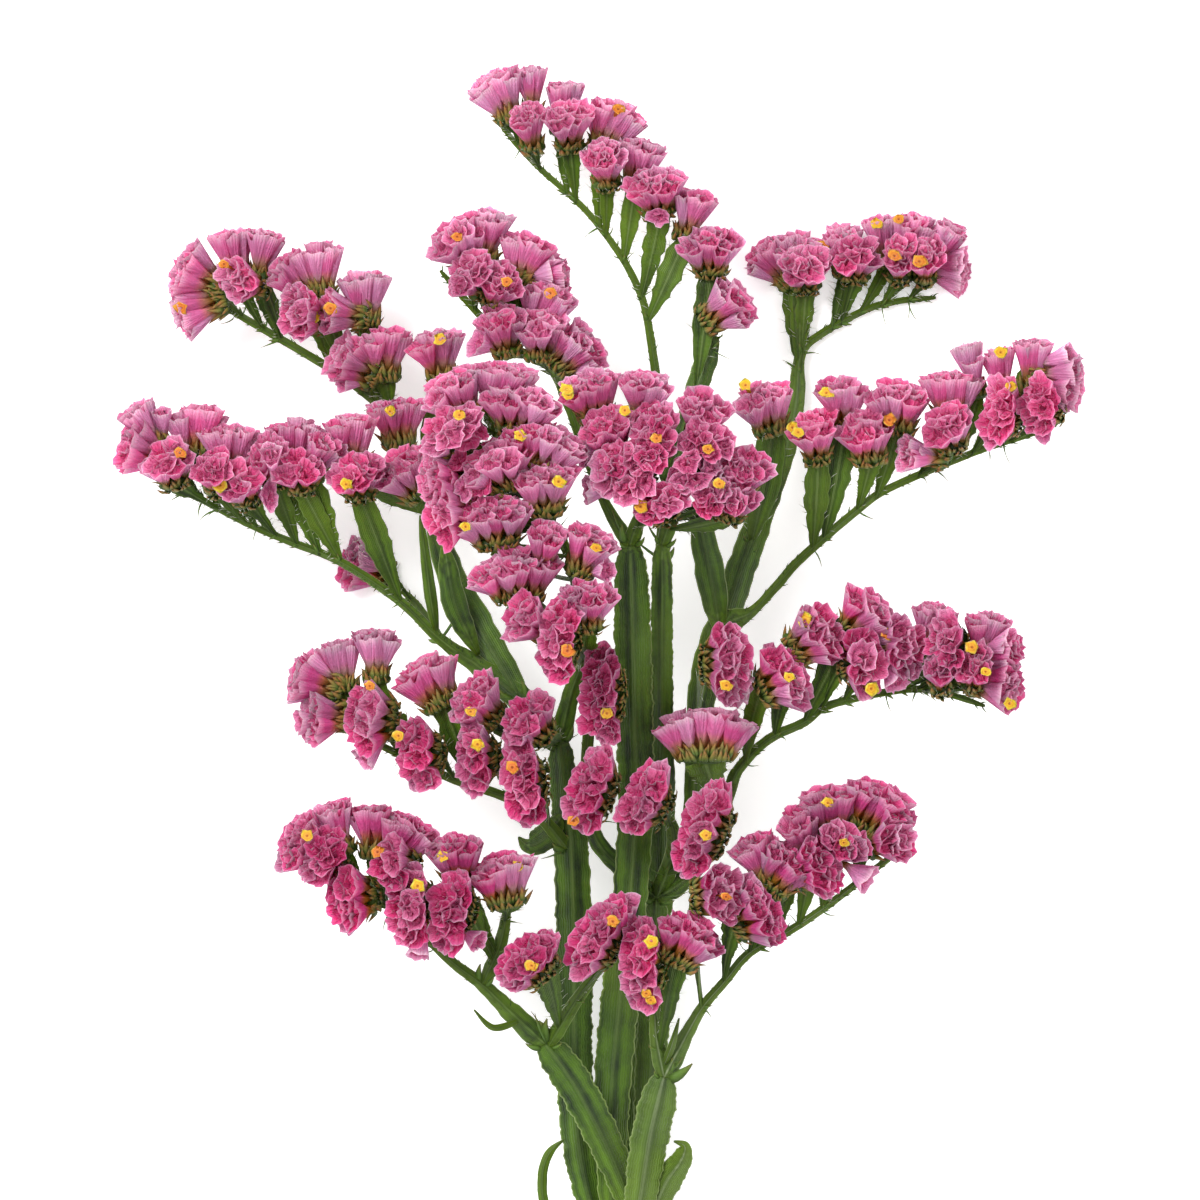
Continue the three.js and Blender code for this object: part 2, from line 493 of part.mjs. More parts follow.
// The twine: one closed ridged band round the stems.
function tie() {
  const [x, y] = TIE_AT;
  const middle = onBoard(x, y, TIE_HEIGHT);
  const profile = [[0, -TIE_WRAPS / 2 * TWINE], [0, TIE_WRAPS / 2 * TWINE]];
  for (let wrap = TIE_WRAPS - 1; wrap >= 0; wrap -= 1) {
    const start = (wrap - TIE_WRAPS / 2) * TWINE;
    profile.push([TWINE * TIE_CREST[0], start + TWINE * (1 - TIE_CREST[1])],
      [TWINE * TIE_CREST[0], start + TWINE * TIE_CREST[1]]);
    if (wrap > 0) profile.push([TWINE * TIE_VALLEY, start]);
  }
  const points = [];
  const faces = [];
  for (let turn = 0; turn < TIE_SIDES; turn += 1) {
    const angle = 2 * Math.PI * turn / TIE_SIDES;
    profile.forEach(([r, s]) => points.push(vector(middle.x + (TIE_HALF[0] + r) * Math.cos(angle),
      middle.y + s, middle.z + (TIE_HALF[1] + r) * Math.sin(angle))));
    profile.forEach((_, k) => {
      const next = (k + 1) % profile.length;
      const [a, b] = [turn * profile.length, (turn + 1) % TIE_SIDES * profile.length];
      faces.push([a + k, b + k, b + next], [a + k, b + next, a + next]);
    });
  }
  return solid(points, faces);
}

const MATERIALS = {
  stem: new THREE.MeshStandardMaterial({ color: '#b8587f', roughness: 0.85, metalness: 0 }),
  tie: new THREE.MeshStandardMaterial({ color: '#a98a5c', roughness: 0.95, metalness: 0 }),
};

const bunch = new THREE.Group();
bunch.name = 'dried_statice';

// A later stem gives way to the ones before it, and scraps that this cuts loose are dropped.
let taken = null;
Object.keys(STEMS).forEach((name) => {
  let shape = floweringStem(name, 0).trimByPlane([0, 0, 1], 0);
  if (taken) shape = shape.subtract(taken);
  shape = shape.simplify(CRUMB);
  const bodies = shape.decompose().sort((a, b) => b.volume() - a.volume());
  bunch.add(meshOf(`stem_${name}`, bodies[0], MATERIALS.stem));
  taken = taken ? taken.add(floweringStem(name, GAP)) : floweringStem(name, GAP);
});

bunch.add(meshOf('tie', tie(), MATERIALS.tie));

// The origin: the middle of the whole bunch's box, at the table.
const box = new THREE.Box3().setFromObject(bunch);
const middle = box.getCenter(vector(0, 0, 0));
bunch.position.set(-middle.x, -middle.y, -box.min.z);

export default bunch;
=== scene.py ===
# %% [markdown]
# # Dressing a bunch of dried statice
# Statice is a winged sea lavender. What looks like its petals are dry papery cups, the calyces, in two
# ranks on short one-sided spikes, and each spike stands in a boat of green bracts on a leafy stalk. The
# imported solids give every stem its size and place, and this lesson grows the fine surfaces on them.
#
# We load the frame first and keep its parts. What we make may hardly grow past it.

import bpy
import numpy as np
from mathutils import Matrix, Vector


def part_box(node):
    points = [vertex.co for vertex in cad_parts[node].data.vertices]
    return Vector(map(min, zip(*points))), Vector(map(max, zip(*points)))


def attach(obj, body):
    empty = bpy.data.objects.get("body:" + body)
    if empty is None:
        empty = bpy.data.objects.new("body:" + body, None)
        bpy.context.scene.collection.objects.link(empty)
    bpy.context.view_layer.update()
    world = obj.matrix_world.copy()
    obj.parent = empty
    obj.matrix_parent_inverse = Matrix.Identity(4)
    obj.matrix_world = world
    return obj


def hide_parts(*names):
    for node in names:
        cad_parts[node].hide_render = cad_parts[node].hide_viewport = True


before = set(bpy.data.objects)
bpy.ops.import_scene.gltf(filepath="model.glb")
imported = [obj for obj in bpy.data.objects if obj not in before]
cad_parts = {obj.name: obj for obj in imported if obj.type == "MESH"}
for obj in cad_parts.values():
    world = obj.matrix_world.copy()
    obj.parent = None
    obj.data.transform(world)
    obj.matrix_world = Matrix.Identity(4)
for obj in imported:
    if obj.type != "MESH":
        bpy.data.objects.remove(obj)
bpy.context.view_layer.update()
MM = 0.001
print("nodes", sorted(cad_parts))

# %% [markdown]
# ## The drawing board
# The bunch was laid out on a board of 1200 by 1200 squares of 0.3 mm, x to the right and y down, with
# heights in mm. The solids were then shifted to stand over their own middle. The tie is the one piece
# whose place on the board is known exactly, so its packed box tells us that shift.

# %% From the board to the frame
SQUARE = 0.3
BOARD_SIDE = 1200
TIE_AT = (628, 1283)
TIE_HEIGHT = 13.5

def on_board(rows, shift=0.0):
    """Points in mm from rows of [x, y, height, ...]: X is (x - half the side) squares, Y is (side - y)
    squares, Z is the height, and the shift is added."""
    rows = np.asarray(rows, float)
    flat = [(rows[..., 0] - BOARD_SIDE / 2) * SQUARE, (BOARD_SIDE - rows[..., 1]) * SQUARE, rows[..., 2]]
    return np.stack(flat, -1) + shift

tie_low, tie_high = (np.array(corner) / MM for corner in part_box("tie"))
SHIFT = (tie_low + tie_high) / 2 - on_board([*TIE_AT, TIE_HEIGHT])
print("shift of the board in mm", SHIFT.round(2))

# %% [markdown]
# ## The layout
# A stem's `route`, each of its `arms` and each of its `leaves` is a list of rows [x, y, height, width].
# The solids were lofted through the same rows, so a finer surface through them lies where the solid lies.

# %% The stems
STEMS = {
  "front_right": {
    "route": [[540, 1575, 9, 5.4], [575, 1440, 13, 5.4], [628, 1283, 18.7, 4.7], [630, 1262, 20, 5],
      [640, 1205, 28, 9.5], [650, 1140, 35, 11.5], [664, 1078, 39, 10.5]],
    "arms": [
      [[664, 1078, 39, 8], [684, 1040, 42, 4.6], [702, 1008, 45, 3.3], [724, 982, 47, 2.9],
        [750, 952, 49, 2.7], [790, 930, 50, 2.6], [830, 903, 51, 2.4], [870, 872, 52, 2.2],
        [905, 845, 53, 1.8]],
      [[664, 1078, 39, 6], [656, 1035, 44, 4], [655, 1000, 46, 3]],
    ],
    "leaves": [
      [[664, 1066, 40, 2.6], [672, 1045, 45, 2.2], [679, 1018, 47, 1]],
      [[629, 1240, 22, 3], [652, 1215, 24, 7], [667, 1184, 27, 9], [681, 1163, 31, 6.5],
        [685, 1148, 34, 3.6], [674, 1143, 33, 1.2]],
    ],
  },
  "front_left": {
    "route": [[722, 1560, 10, 5.4], [690, 1430, 12.5, 5.4], [643, 1283, 16.1, 4.7], [642, 1262, 17, 5],
      [630, 1205, 22.5, 8.5], [602, 1138, 29, 10.5], [572, 1082, 33, 11], [545, 1045, 36, 10]],
    "arms": [
      [[545, 1045, 36, 8], [512, 1014, 39, 6], [482, 985, 42, 4], [452, 962, 45, 3.1],
        [425, 936, 47, 2.8], [398, 915, 48, 2.5], [372, 893, 49, 2.2], [340, 878, 50, 1.8]],
      [[482, 985, 42, 4], [500, 945, 46, 4], [508, 905, 48, 3]],
      [[548, 1048, 36, 5], [575, 1003, 42, 4], [600, 968, 45, 3]],
    ],
    "leaves": [[[518, 1022, 39, 2.6], [493, 1028, 42, 2], [474, 1010, 43, 1]]],
  },
  "centre": {
    "route": [[640, 1590, 13.5, 5.4], [624, 1440, 15.5, 5.4], [613, 1283, 16.1, 4.7],
      [613, 1262, 16.6, 5], [612, 1205, 18.5, 8], [612, 1100, 23, 11], [620, 1000, 27, 11.5],
      [630, 900, 32, 10.5], [636, 800, 36, 11], [634, 700, 41, 11.5], [632, 610, 46, 11],
      [630, 545, 50, 9]],
    "arms": [
      [[630, 545, 50, 7], [640, 515, 55, 3.4], [650, 480, 60, 3], [655, 440, 62, 2.4]],
      [[630, 545, 50, 6], [606, 505, 47, 3.2], [586, 455, 44, 3], [568, 405, 42, 2.8],
        [548, 365, 41, 2.6], [510, 345, 41, 2.4], [475, 310, 41, 2.2], [440, 270, 40, 1.8]],
    ],
  },
  "left": {
    "route": [[578, 1585, 4, 5.4], [594, 1440, 6.5, 5.4], [613, 1283, 10.9, 4.7], [611, 1262, 11, 5],
      [590, 1205, 12, 8.5], [578, 1140, 15, 10.5], [574, 1050, 19, 11], [574, 950, 24, 11],
      [571, 850, 29, 10.5], [564, 790, 32, 8.5], [560, 740, 34, 7.5]],
    "arms": [
      [[560, 740, 34, 7], [572, 690, 40, 5], [588, 640, 50, 4], [580, 580, 60, 3.4], [550, 520, 67, 3],
        [515, 465, 70, 2.7], [485, 415, 70, 2.3]],
      [[568, 850, 29, 5], [535, 812, 38, 3.4], [500, 795, 43, 3], [455, 780, 46, 2.7],
        [415, 762, 47, 2.4], [380, 745, 47, 2.2], [340, 728, 46, 1.8]],
      [[560, 745, 34, 7], [520, 700, 32, 8], [480, 668, 30, 6], [440, 640, 29, 3.6], [400, 602, 28, 3],
        [340, 562, 27, 2.6], [285, 540, 26, 2.4], [235, 518, 26, 2.1], [150, 472, 25, 1.8],
        [128, 458, 24, 1.6]],
      [[520, 700, 32, 8], [480, 630, 27, 9.5], [448, 570, 23, 8.5], [428, 500, 21, 5],
        [405, 440, 20, 3.4], [375, 402, 20, 2.9], [330, 368, 20, 2.7], [245, 318, 19, 2.3],
        [215, 300, 18, 1.9]],
      [[440, 640, 29, 3], [428, 622, 17, 2.6], [412, 602, 7, 2.4], [396, 587, 3.2, 2]],
    ],
    "leaves": [
      [[606, 1262, 11, 3], [566, 1244, 12, 3], [545, 1212, 14, 3], [542, 1180, 16, 3],
        [549, 1157, 19, 2.6], [564, 1143, 21, 1]],
      [[566, 812, 31, 3], [545, 838, 30, 8], [528, 846, 30, 6], [518, 838, 29, 1.4]],
      [[478, 655, 30, 3], [455, 605, 35, 7.6], [444, 545, 37, 4]],
      [[436, 634, 28, 2.4], [429, 590, 32, 3.8], [420, 515, 35, 1.8]],
    ],
  },
  "right": {
    "route": [[690, 1555, 4, 5.4], [664, 1430, 6.5, 5.4], [643, 1283, 10.9, 4.7], [644, 1262, 11, 5],
      [648, 1205, 12, 7.6], [650, 1100, 14, 9.5], [655, 1000, 17, 9.5], [656, 930, 20, 8],
      [657, 900, 22, 7]],
    "arms": [
      [[657, 900, 22, 7], [688, 878, 26, 6], [714, 838, 30, 5], [730, 790, 35, 4.2], [740, 768, 38, 3.4],
        [768, 740, 41, 3], [805, 722, 43, 2.8], [830, 705, 44, 2.5], [900, 690, 46, 2.3],
        [940, 692, 46, 2.1], [985, 706, 46, 1.8]],
      [[688, 878, 26, 6], [694, 800, 27, 6], [697, 740, 28, 7], [704, 690, 29, 9], [722, 630, 30, 10],
        [752, 612, 31, 3.4], [778, 585, 32, 2.9], [802, 558, 32, 2.8], [858, 510, 32, 2.6],
        [890, 488, 32, 2.4], [965, 456, 32, 2.2], [1005, 442, 32, 2], [1045, 430, 32, 1.8]],
      [[722, 630, 30, 9], [738, 580, 24, 9.5], [760, 520, 18, 8], [785, 455, 10, 6.4], [798, 400, 6, 5.6],
        [803, 352, 4, 3.2], [825, 330, 2.4, 2.5], [872, 305, 2, 2.2], [905, 297, 2, 2],
        [940, 294, 2, 1.8]],
      [[657, 900, 22, 6], [625, 872, 24, 6], [597, 842, 27, 5], [588, 800, 34, 4], [588, 740, 40, 3.6],
        [596, 690, 42, 3]],
      [[657, 900, 22, 6], [672, 860, 30, 5], [673, 830, 39, 4], [662, 812, 44, 3.4]],
    ],
    "leaves": [[[720, 632, 31, 5], [712, 580, 35, 9], [697, 508, 39, 6]]],
  },
  "back": {
    "route": [[612, 1602, 1.25, 5.4], [620, 1440, 3, 5.4], [628, 1283, 8.3, 4.7], [628, 1262, 8.3, 5],
      [632, 1205, 8.6, 8], [640, 1100, 9.5, 9.5], [652, 1000, 12, 9], [660, 900, 17, 8],
      [663, 800, 25, 7.6], [662, 700, 33, 7], [662, 610, 42, 6.5], [662, 545, 49, 6]],
    "arms": [
      [[662, 545, 49, 6], [677, 505, 56, 3.6], [695, 470, 60, 3], [705, 435, 60, 2.4]],
      [[662, 560, 47, 5], [668, 480, 36, 4.5], [662, 420, 28, 3.6], [656, 372, 24, 2.8],
        [648, 320, 23, 2.4], [640, 290, 22, 2.3], [620, 252, 22, 2.2], [585, 207, 21, 2],
        [540, 166, 21, 1.8], [515, 140, 20, 1.7], [492, 110, 20, 1.6]],
      [[668, 480, 36, 4], [686, 420, 28, 5], [703, 370, 24, 7], [716, 334, 23, 5]],
    ],
  },
}

# %% [markdown]
# A spray is the spikes of one arm. A spike is [x, y, length, facing, rise, lift]: the middle of its cups
# on the board, its length in mm, the way its cups open in degrees from +X, how far that way rises in
# degrees, and its height over the spray's.

# %% The sprays
SPRAYS = {
  "top": {
    "stem": "back", "height": 24,
    "spikes": [[497, 85, 14, 115, 15], [532, 78, 8, 90, 5], [528, 120, 10, 100, 40], [564, 94, 12, 88, 5],
      [568, 120, 14, 95, 45], [615, 115, 18, 72, 15], [605, 160, 12, 95, 50], [641, 152, 14, 80, 15],
      [656, 186, 17, 100, 45], [694, 204, 12, 75, 20], [712, 246, 18, 88, 45], [732, 303, 16, 35, 30]],
  },
  "upper_left": {
    "stem": "left", "height": 23,
    "spikes": [[188, 266, 15, 150, 20], [187, 307, 14, 195, 10], [230, 243, 13, 100, 5],
      [263, 244, 10, 78, 5], [241, 280, 12, 170, 55], [285, 271, 14, 130, 15], [322, 258, 13, 90, 10],
      [300, 312, 17, 172, 50], [333, 311, 14, 170, 30], [363, 287, 14, 92, 10], [346, 360, 15, 150, 30],
      [383, 343, 15, 92, 15], [436, 345, 15, 100, 20], [395, 412, 17, 95, 20]],
  },
  "upper_centre": {
    "stem": "centre", "height": 46,
    "spikes": [[458, 240, 18, 120, 40], [490, 228, 12, 82, 15], [530, 252, 18, 70, 15],
      [472, 276, 15, 130, 60], [500, 286, 12, 70, 55], [553, 276, 8, 5, 10], [547, 299, 17, 75, 20],
      [502, 326, 13, 100, 40], [540, 330, 15, 90, 40], [580, 347, 18, 48, 30]],
  },
  "upper_right": {
    "stem": "right", "height": 1.2,
    "spikes": [[768, 254, 12, 135, 15], [800, 247, 19, 95, 20], [807, 266, 15, 95, 60],
      [846, 237, 12, 95, 20], [858, 256, 15, 90, 60], [885, 227, 12, 100, 15], [916, 226, 12, 80, 15],
      [902, 257, 10, 90, 60], [930, 256, 10, 85, 55], [953, 237, 10, 60, 15], [956, 267, 12, -8, 15]],
  },
  "left": {
    "stem": "left", "height": 31,
    "spikes": [[142, 416, 12, 118, 10], [134, 446, 16, 158, 25], [195, 422, 19, 93, 5],
      [168, 463, 16, 108, 55], [229, 440, 17, 90, 15], [212, 472, 10, 100, 60], [241, 482, 15, 112, 55],
      [293, 435, 17, 88, 5], [270, 458, 12, 100, 45], [300, 470, 15, 95, 60], [325, 450, 12, 60, 35],
      [352, 431, 15, 90, 16], [358, 477, 16, 95, 60], [403, 469, 18, 125, 30],
      [356, 566, 15, 165, 30, -32.7]],
  },
  "front_centre": {
    "stem": "left", "height": 73,
    "spikes": [[455, 392, 18, 115, 30], [505, 380, 19, 80, 20], [522, 405, 23, 80, 35],
      [452, 435, 20, 125, 65], [545, 442, 26, 75, 35], [497, 466, 21, 115, 45], [440, 480, 15, 175, 30],
      [448, 518, 16, 185, 40], [545, 483, 19, 95, 35], [494, 517, 25, 100, 40], [517, 569, 26, 95, 33],
      [547, 542, 12, 80, 35], [590, 545, 15, 68, 30], [588, 600, 17, 85, 40], [560, 640, 25, 170, 70],
      [526, 619, 14, 150, 40]],
  },
  "centre": {
    "stem": "centre", "height": 66,
    "spikes": [[592, 390, 18, 100, 30], [645, 390, 15, 85, 30], [607, 432, 17, 110, 45],
      [615, 470, 15, 150, 60], [654, 426, 14, 98, 50], [648, 456, 17, 105, 75], [636, 482, 15, 150, 75],
      [660, 508, 16, 112, 75]],
  },
  "centre_right": {
    "stem": "back", "height": 66,
    "spikes": [[702, 414, 15, 82, 45], [706, 446, 17, 78, 75], [694, 474, 16, 90, 85],
      [711, 502, 13, 78, 80], [743, 470, 17, 75, 50], [735, 500, 14, 70, 60]],
  },
  "right": {
    "stem": "right", "height": 38,
    "spikes": [[764, 402, 17, 105, 32], [814, 433, 14, 100, 42], [842, 395, 15, 95, 20],
      [867, 433, 17, 98, 40], [900, 400, 18, 85, 30], [953, 386, 18, 90, 15], [970, 360, 8, 105, 0],
      [948, 430, 15, 110, 60], [914, 455, 9, 175, 30], [1000, 412, 20, 165, 60], [1001, 364, 9, 95, 5],
      [1032, 355, 11, 88, 10], [1066, 377, 20, 0, 20], [1040, 408, 17, 175, 62]],
  },
  "lower_left": {
    "stem": "left", "height": 50,
    "spikes": [[308, 677, 14, 160, 15], [340, 655, 12, 100, 5], [377, 645, 12, 90, 10],
      [318, 716, 15, 178, 30], [368, 718, 22, 175, 45], [427, 674, 20, 118, 15], [419, 753, 22, 180, 60],
      [476, 700, 17, 135, 40], [475, 757, 22, 178, 60], [528, 719, 17, 132, 50], [524, 783, 26, 185, 62]],
  },
  "lower_right": {
    "stem": "right", "height": 50,
    "spikes": [[705, 723, 31, 90, 0], [728, 663, 24, 0, 55], [787, 677, 20, 27, 40],
      [818, 635, 20, 34, 38], [872, 614, 21, 42, 30], [862, 661, 20, 2, 60], [901, 648, 18, 2, 50],
      [935, 620, 13, 80, 15], [946, 642, 15, 170, 66], [940, 672, 9, 90, 60], [985, 628, 12, 80, 15],
      [1003, 652, 12, 10, 25], [973, 668, 11, 90, 60], [1002, 686, 14, -8, 30]],
  },
  "front_left": {
    "stem": "front_left", "height": 53,
    "spikes": [[302, 842, 18, 150, 35], [335, 818, 11, 108, 15], [376, 820, 16, 90, 10],
      [326, 858, 18, 140, 65], [349, 896, 20, 183, 45], [410, 832, 18, 62, 20], [394, 862, 15, 178, 55],
      [410, 903, 24, 180, 62], [458, 852, 17, 95, 30], [453, 910, 25, 165, 65], [501, 871, 20, 102, 22],
      [529, 958, 23, 138, 56]],
  },
  "front_right": {
    "stem": "front_right", "height": 56,
    "spikes": [[690, 933, 21, 62, 30], [720, 893, 18, 8, 50], [760, 911, 22, 25, 42],
      [758, 850, 14, 110, 20], [788, 863, 18, 55, 30], [816, 866, 18, 18, 50], [800, 826, 12, 110, 30],
      [830, 802, 18, 100, 20], [882, 803, 23, 58, 25], [843, 842, 15, 45, 60], [890, 840, 12, 15, 50]],
  },
  "middle": {
    "stem": "right", "height": 50,
    "spikes": [[602, 694, 30, 178, 65], [591, 788, 27, 162, 60], [645, 800, 23, 152, 60],
      [702, 826, 32, 158, 55]],
  },
  "low_left": { "stem": "front_left", "height": 53, "spikes": [[598, 932, 30, 144, 50]] },
  "low_centre": { "stem": "front_right", "height": 52, "spikes": [[643, 962, 28, 178, 65]] },
}

# %% [markdown]
# ## Smooth routes and small waves
# A grown thing has no straight edge. Two tools give us that: a Catmull-Rom curve, which passes through
# every row that we drew, and a sum of three sine waves with phases from a seeded draw, which waves an
# edge without ever repeating in step.

# %% Curves, waves and directions
def smooth(rows, steps):
    """Catmull-Rom: between two rows each value is the cubic of t that passes through both, with slopes
    of half the difference of their neighbours; `steps` points for each piece."""
    rows = np.asarray(rows, float)
    before = np.vstack([rows[:1], rows[:-2]])[:, None]
    after = np.vstack([rows[2:], rows[-1:]])[:, None]
    start, end = rows[:-1, None], rows[1:, None]
    t = (np.arange(steps) / steps)[None, :, None]
    cubic = start + 0.5 * t * (end - before + t * (2 * before - 5 * start + 4 * end - after
                               + t * (3 * (start - end) + after - before)))
    return np.vstack([cubic.reshape(-1, rows.shape[1]), rows[-1:]])

def wave(distance, lengths, seed):
    """The mean of one sine of the distance for each wavelength, each with a phase from the seed."""
    phases = np.random.default_rng(seed).uniform(0, 2 * np.pi, len(lengths))
    waves = [np.sin(2 * np.pi * distance / length + phase) for length, phase in zip(lengths, phases)]
    return np.mean(waves, 0)

def unit(vectors):
    """Each vector divided by its length."""
    return vectors / np.maximum(np.linalg.norm(vectors, axis=-1, keepdims=True), 1e-9)

def travelled(places):
    """The distance along a path to each of its points: the running sum of its steps."""
    return np.concatenate([[0], np.cumsum(np.linalg.norm(np.diff(places, axis=0), axis=1))])

sample = wave(np.linspace(0, 50, 200), (9, 5), 1)
print("a wave of two sines runs from", sample.min().round(2), "to", sample.max().round(2))

# %% [markdown]
# ## From arrays to a mesh
# Every surface here is a stack of rings with the same number of points. Its faces join a ring to the
# next, so they follow from the two numbers alone. `make_piece` puts the arrays into a Blender mesh, with
# a UV map for what follows the surface and a value for each point where pieces differ in tone.
#
# The bunch lies on a table. A petal can't sink into it: it bends and lies flat. `rest_on_table` does
# that with the softplus curve, which leaves heights alone and levels out just above zero.

# %% Rings and faces
def tube_faces(rings, sides):
    """Quads between each ring and the next, round the tube."""
    ring, side = np.meshgrid(np.arange(rings - 1), np.arange(sides), indexing="ij")
    here, beside = ring * sides + side, ring * sides + (side + 1) % sides
    return np.stack([here, beside, beside + sides, here + sides], -1).reshape(-1, 4)

def tube_uv(around, along):
    """The corners of the tube's quads in the UV map: `around` has a value more than the tube has sides."""
    u0, v0 = np.meshgrid(around[:-1], along[:-1])
    u1, v1 = np.meshgrid(around[1:], along[1:])
    corners = [(u0, v0), (u1, v0), (u1, v1), (u0, v1)]
    return np.stack([np.stack(corner, -1) for corner in corners], -2).reshape(-1, 4, 2)

def closed_faces(rings, sides):
    """The tube's quads and its two end faces, which look away from each other."""
    first = np.arange(sides)[None]
    return [tube_faces(rings, sides), first[:, ::-1], (rings - 1) * sides + first]

def closed_uv(around, along, ends=0.5):
    """The UV corners of a closed tube, with one value all over each end face."""
    return [tube_uv(around, along), np.full((2, len(around) - 1, 2), ends)]

def repeat_faces(faces, copies, points):
    """The faces of one copy, numbered on for each copy of so many points."""
    return (faces[None] + np.arange(copies)[:, None, None] * points).reshape(-1, faces.shape[1])

print(len(tube_faces(3, 8)), "quads join three rings of eight points")

# %% Pieces
TABLE_BEND = 0.35

def rest_on_table(points):
    """Softplus: the height becomes bend * log(1 + exp(height / bend)), which is never under the table."""
    points = points.copy()
    points[:, 2] = TABLE_BEND * np.logaddexp(0, points[:, 2] / TABLE_BEND)
    return points

def volume_of(points, faces):
    """The volume inside a closed mesh: a sixth of the sum of each fan triangle's box product."""
    total = 0
    for block in faces:
        for k in range(1, block.shape[1] - 1):
            a, b, c = points[block[:, 0]], points[block[:, k]], points[block[:, k + 1]]
            total += np.einsum("ij,ij->", a, np.cross(b, c)) / 6
    return total

def make_piece(name, points, faces, uv, material, slot, node, values=None):
    """One smooth-shaded piece on the root body. `faces` and `uv` are lists of arrays in step with each
    other, and `values` maps an attribute's name to one number for each point."""
    points = rest_on_table(points)
    mesh = bpy.data.meshes.new(name)
    mesh.from_pydata((points * MM).tolist(), [], [face for block in faces for face in block.tolist()])
    mesh.polygons.foreach_set("use_smooth", np.ones(len(mesh.polygons), bool))
    layer = mesh.uv_layers.new(name="surface")
    layer.data.foreach_set("uv", np.concatenate([block.ravel() for block in uv]).astype(np.float32))
    for key, value in (values or {}).items():
        mesh.attributes.new(key, "FLOAT", "POINT").data.foreach_set("value", value.astype(np.float32))
    mesh.materials.append(material)
    mesh.update()
    piece = bpy.data.objects.new(name, mesh)
    bpy.context.collection.objects.link(piece)
    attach(piece, "root")
    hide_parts(node)
    triangles = sum(len(block) * (block.shape[1] - 2) for block in faces)
    print(f"{name}: {triangles} triangles, {volume_of(points, faces) / 1000:.2f} cubic cm")
    return piece

def gather(parts):
    """Several (points, faces, uv, values) as one, with the faces numbered on."""
    starts = np.cumsum([0] + [len(points) for points, *_ in parts])
    return (np.vstack([points for points, *_ in parts]),
            [block + start for (_, faces, *_), start in zip(parts, starts) for block in faces],
            [block for _, _, uv, _ in parts for block in uv],
            {key: np.concatenate([values[key] for *_, values in parts]) for key in parts[0][3]})

def dress(stem, kind, parts, material, slot="greens"):
    """One kind of a stem's parts as one piece, in place of that stem's solid."""
    points, faces, uv, values = parts
    make_piece(f"stem_{stem}_{kind}", points, faces, uv, material, slot, f"stem_{stem}", values)

print("a point on the table rests at mm", rest_on_table(np.zeros((1, 3)))[0, 2].round(2))

# %% [markdown]
# ## Materials: tools
# Colours are easiest to judge as they look on a screen, but the shader adds up light, so it wants them
# linear. `paint` does that. `node` adds a shader node and wires it in one call.

# %% Colour and node tools
def paint(red, green, blue):
    """A screen colour from 0 to 255 as linear light: ((c + 0.055) / 1.055) to the power 2.4."""
    screen = np.array([red, green, blue]) / 255
    linear = np.where(screen > 0.04045, ((screen + 0.055) / 1.055) ** 2.4, screen / 12.92)
    return (*linear.tolist(), 1.0)

def new_material(name):
    """A material with an empty node tree."""
    material = bpy.data.materials.new(name)
    material.use_nodes = True
    material.node_tree.nodes.clear()
    return material

def node(material, kind, inputs=None, **settings):
    """A shader node. `inputs` maps a socket to a number, a colour or another node's output."""
    made = material.node_tree.nodes.new("ShaderNode" + kind)
    for key, value in settings.items():
        setattr(made, key, value)
    for key, value in (inputs or {}).items():
        if isinstance(value, bpy.types.NodeSocket):
            material.node_tree.links.new(value, made.inputs[key])
        else:
            made.inputs[key].default_value = value
    return made

def maths(material, operation, *values):
    """The output of one sum or function of numbers."""
    return node(material, "Math", dict(enumerate(values)), operation=operation).outputs[0]

print("a mid grey is", round(paint(128, 128, 128)[0], 3), "in linear light")

# %% Ramps, spans, blends and noise
def ramp(material, factor, stops):
    """A colour for the factor, from stops of (place, screen colour)."""
    made = node(material, "ValToRGB", {0: factor})
    elements = made.color_ramp.elements
    while len(elements) < len(stops):
        elements.new(0.5)
    for element, (place, colour) in zip(elements, stops):
        element.position = place
        element.color = paint(*colour)
    return made.outputs["Color"]

def span(material, value, low, high, at_low, at_high):
    """Straight from `at_low` to `at_high` while the value goes from `low` to `high`, and level beyond."""
    return node(material, "MapRange", {0: value, 1: low, 2: high, 3: at_low, 4: at_high}).outputs[0]

def blend(material, factor, first, second, way="MIX"):
    """One colour over another."""
    made = node(material, "Mix", {0: factor, 6: first, 7: second}, data_type="RGBA", blend_type=way)
    return made.outputs[2]

def noise(material, place, scale, detail=3.0):
    """Soft noise from 0 to 1 at the place, in waves of one over the scale."""
    return node(material, "TexNoise", {"Vector": place, "Scale": scale, "Detail": detail}).outputs[0]

# %% A leafy finish, and what it can vary with
def finish_leafy(material, colour, roughness, bump, depth, through, shine=0.4):
    """A thin plant surface: most light comes back from its face, and a share comes through it."""
    normal = node(material, "Bump", {"Height": bump, "Distance": depth * MM}).outputs[0]
    face = node(material, "BsdfPrincipled", {"Base Color": colour, "Roughness": roughness,
                                             "Specular IOR Level": shine, "Normal": normal})
    behind = node(material, "BsdfTranslucent", {"Color": colour, "Normal": normal})
    both = node(material, "MixShader", {0: through, 1: face.outputs[0], 2: behind.outputs[0]})
    node(material, "OutputMaterial", {"Surface": both.outputs[0]})
    return material

def surface_uv(material):
    """The two numbers of the piece's UV map: across or around, and along."""
    parts = node(material, "SeparateXYZ", {0: node(material, "UVMap", uv_map="surface").outputs[0]})
    return parts.outputs[0], parts.outputs[1]

def own_value(material, name):
    """One of the values that `make_piece` gave to each point."""
    return node(material, "Attribute", attribute_name=name).outputs["Fac"]

def own_place(material):
    """The place in metres, the same as in the frame."""
    return node(material, "TexCoord").outputs["Object"]

